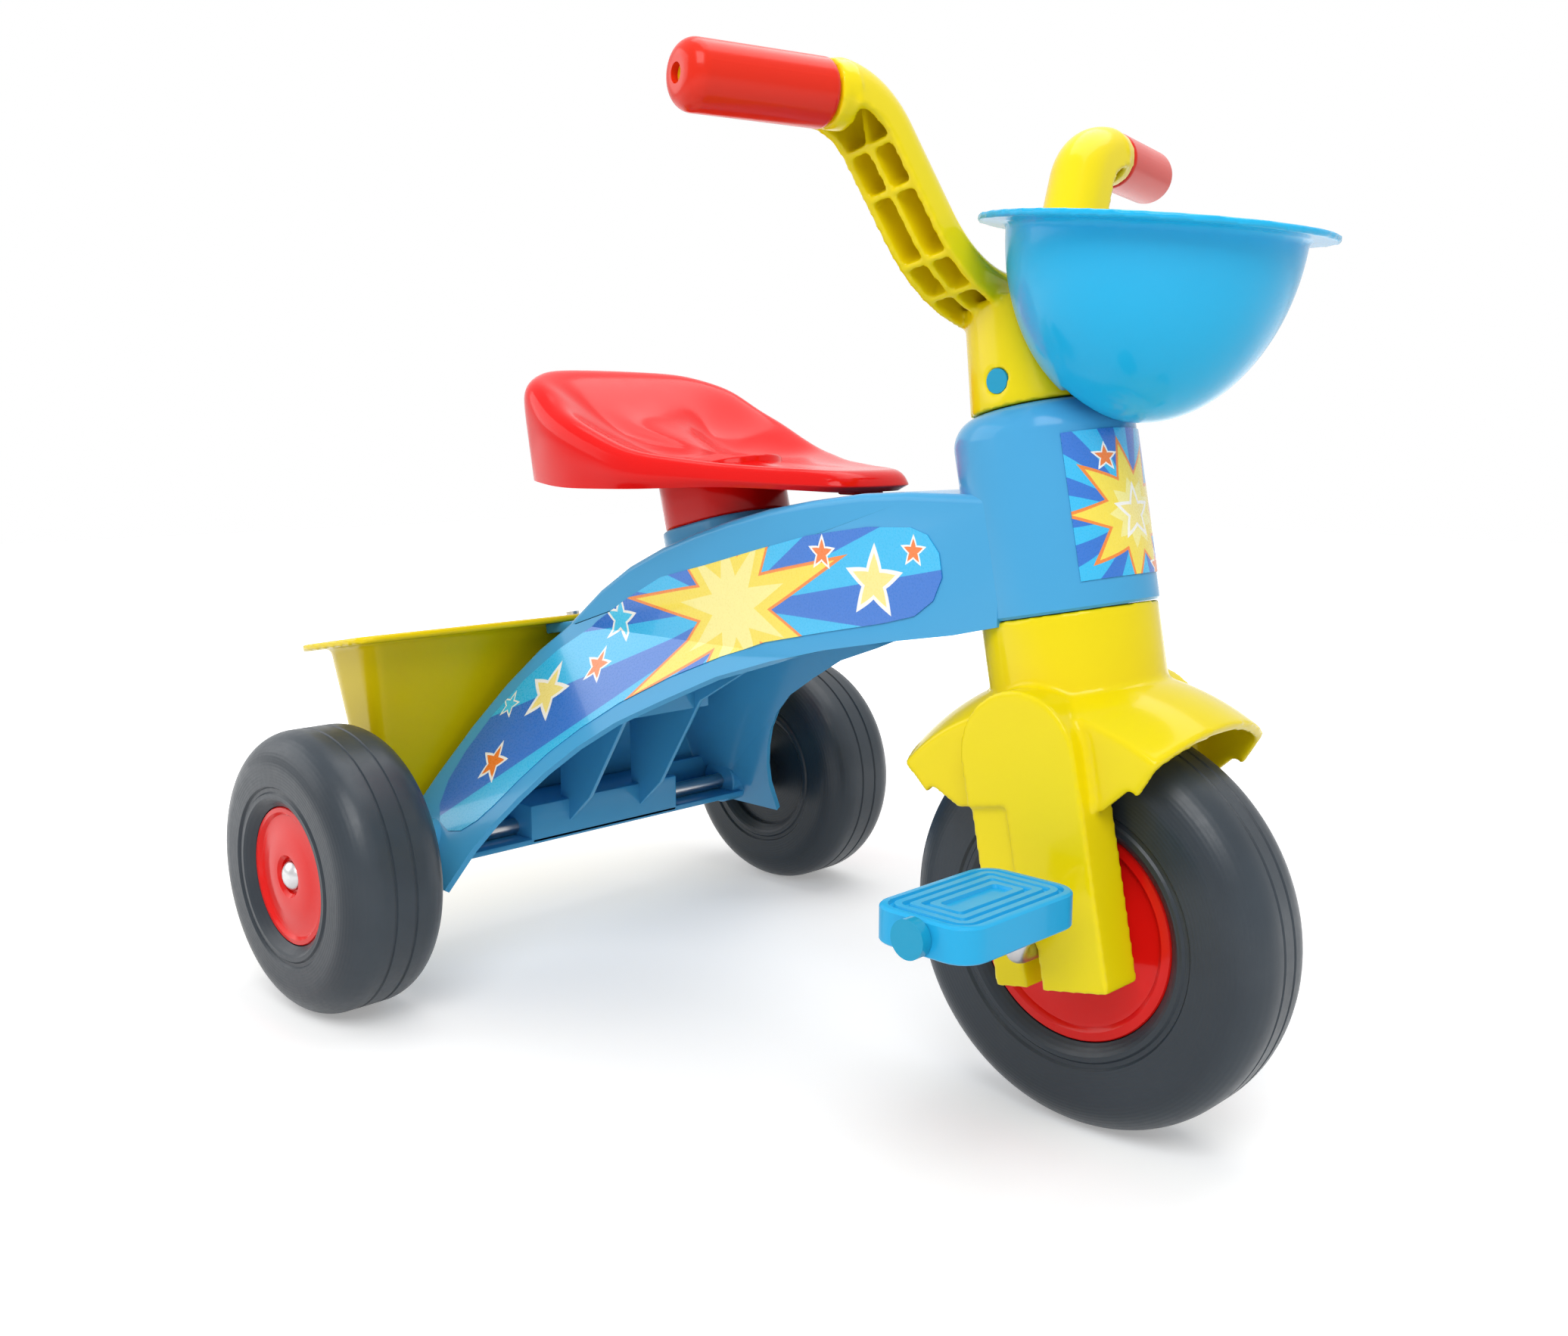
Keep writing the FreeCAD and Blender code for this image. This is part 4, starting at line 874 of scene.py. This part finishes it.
# ------------------------------------------------------------------------------------------ tub

def tub_shell():
    """An open tub with a rolled rim, walls that taper inwards and a flat floor."""
    def ring(front, back, half, front_round, back_round, height):
        points = []
        for x, y, radius, start in ((front, half, front_round, 0), (back, half, back_round, 90),
                                    (back, -half, back_round, 180), (front, -half, front_round, 270)):
            centre = (x - math.copysign(radius, x - back if x != back else -1),
                      y - math.copysign(radius, y))
            points += arc(centre, radius, start, start + 90, 8)
        return [TUB_PLACE @ Vector((x, y, height)) for x, y in points]

    outside = [ring(-0.093, -0.0975, 0.119, 0.002, 0.002, -0.112)]
    rings = [
        ring(-0.0006, -0.0914, 0.1644, 0.0114, 0.0334, -0.0055),
        ring(0.0, -0.092, 0.165, 0.012, 0.034, -0.0045),
        ring(0.0, -0.092, 0.165, 0.012, 0.034, -0.0012),
        ring(-0.0008, -0.0912, 0.1642, 0.0112, 0.0332, -0.0002),
        ring(-0.0020, -0.0900, 0.1630, 0.011, 0.032, 0.0),
        ring(-0.0185, -0.0815, 0.1535, 0.011, 0.028, 0.0),
        ring(-0.0205, -0.0790, 0.1510, 0.010, 0.026, -0.0006),
        ring(-0.0215, -0.0775, 0.1500, 0.009, 0.024, -0.0030),
        ring(-0.0705, -0.0945, 0.1215, 0.004, 0.006, -0.1065),
        ring(-0.0720, -0.0940, 0.1205, 0.003, 0.005, -0.1085),
        ring(-0.0740, -0.0925, 0.1190, 0.002, 0.004, -0.1092),
    ]
    shell = ringed("tub_shell", rings)
    return shell, outside


# ------------------------------------------------------------------------------- putting it together

beam = finish_piece(smooth(frame_shell()), BLUE, "frame", "blue", "frame_body")
for piece in frame_pieces():
    finish_piece(piece, BLUE, "frame", "blue")
seat_parts = joined("seat_moulding", seat_shell(), post("seat_post", 0.077, 0.056, 0.0, 0.030),
                    slab("seat_tab", (0.027, -0.011, 0.285), (0.039, 0.011, 0.295), 0.001))
finish_piece(seat_parts, SEAT_RED, "frame", "seat", "seat")
front_tyre_and_hubs()
rear_wheels()
pedals()
side_stickers()
head_sticker()
for node, name, body, slot, material, voxel in (
        ("fork", "fork_moulding", "steering", "yellow", YELLOW, 0.0013),
        ("handlebar", "handlebar_moulding", "steering", "yellow", YELLOW, 0.0012),
        ("bowl", "bowl_moulding", "steering", "bowl", BOWL_BLUE, 0.0011),
        ("tub", "tub_moulding", "frame", "yellow", TUB_YELLOW, 0.0015)):
    finish_piece(softened(node, name, voxel, 4), material, body, slot, node)

stage()
lamp("key lamp", (0.9, -1.0, 1.5), (0, 0, 0.2), (1.0, 1.0), 19)
lamp("fill lamp", (-1.2, -1.0, 0.9), (0, 0, 0.2), (1.4, 1.0), 8)
lamp("top lamp", (0.0, 0.5, 1.8), (0, 0, 0.2), (1.4, 1.4), 14)
camera()
bpy.context.scene.view_settings.view_transform = "Standard"

deselect()
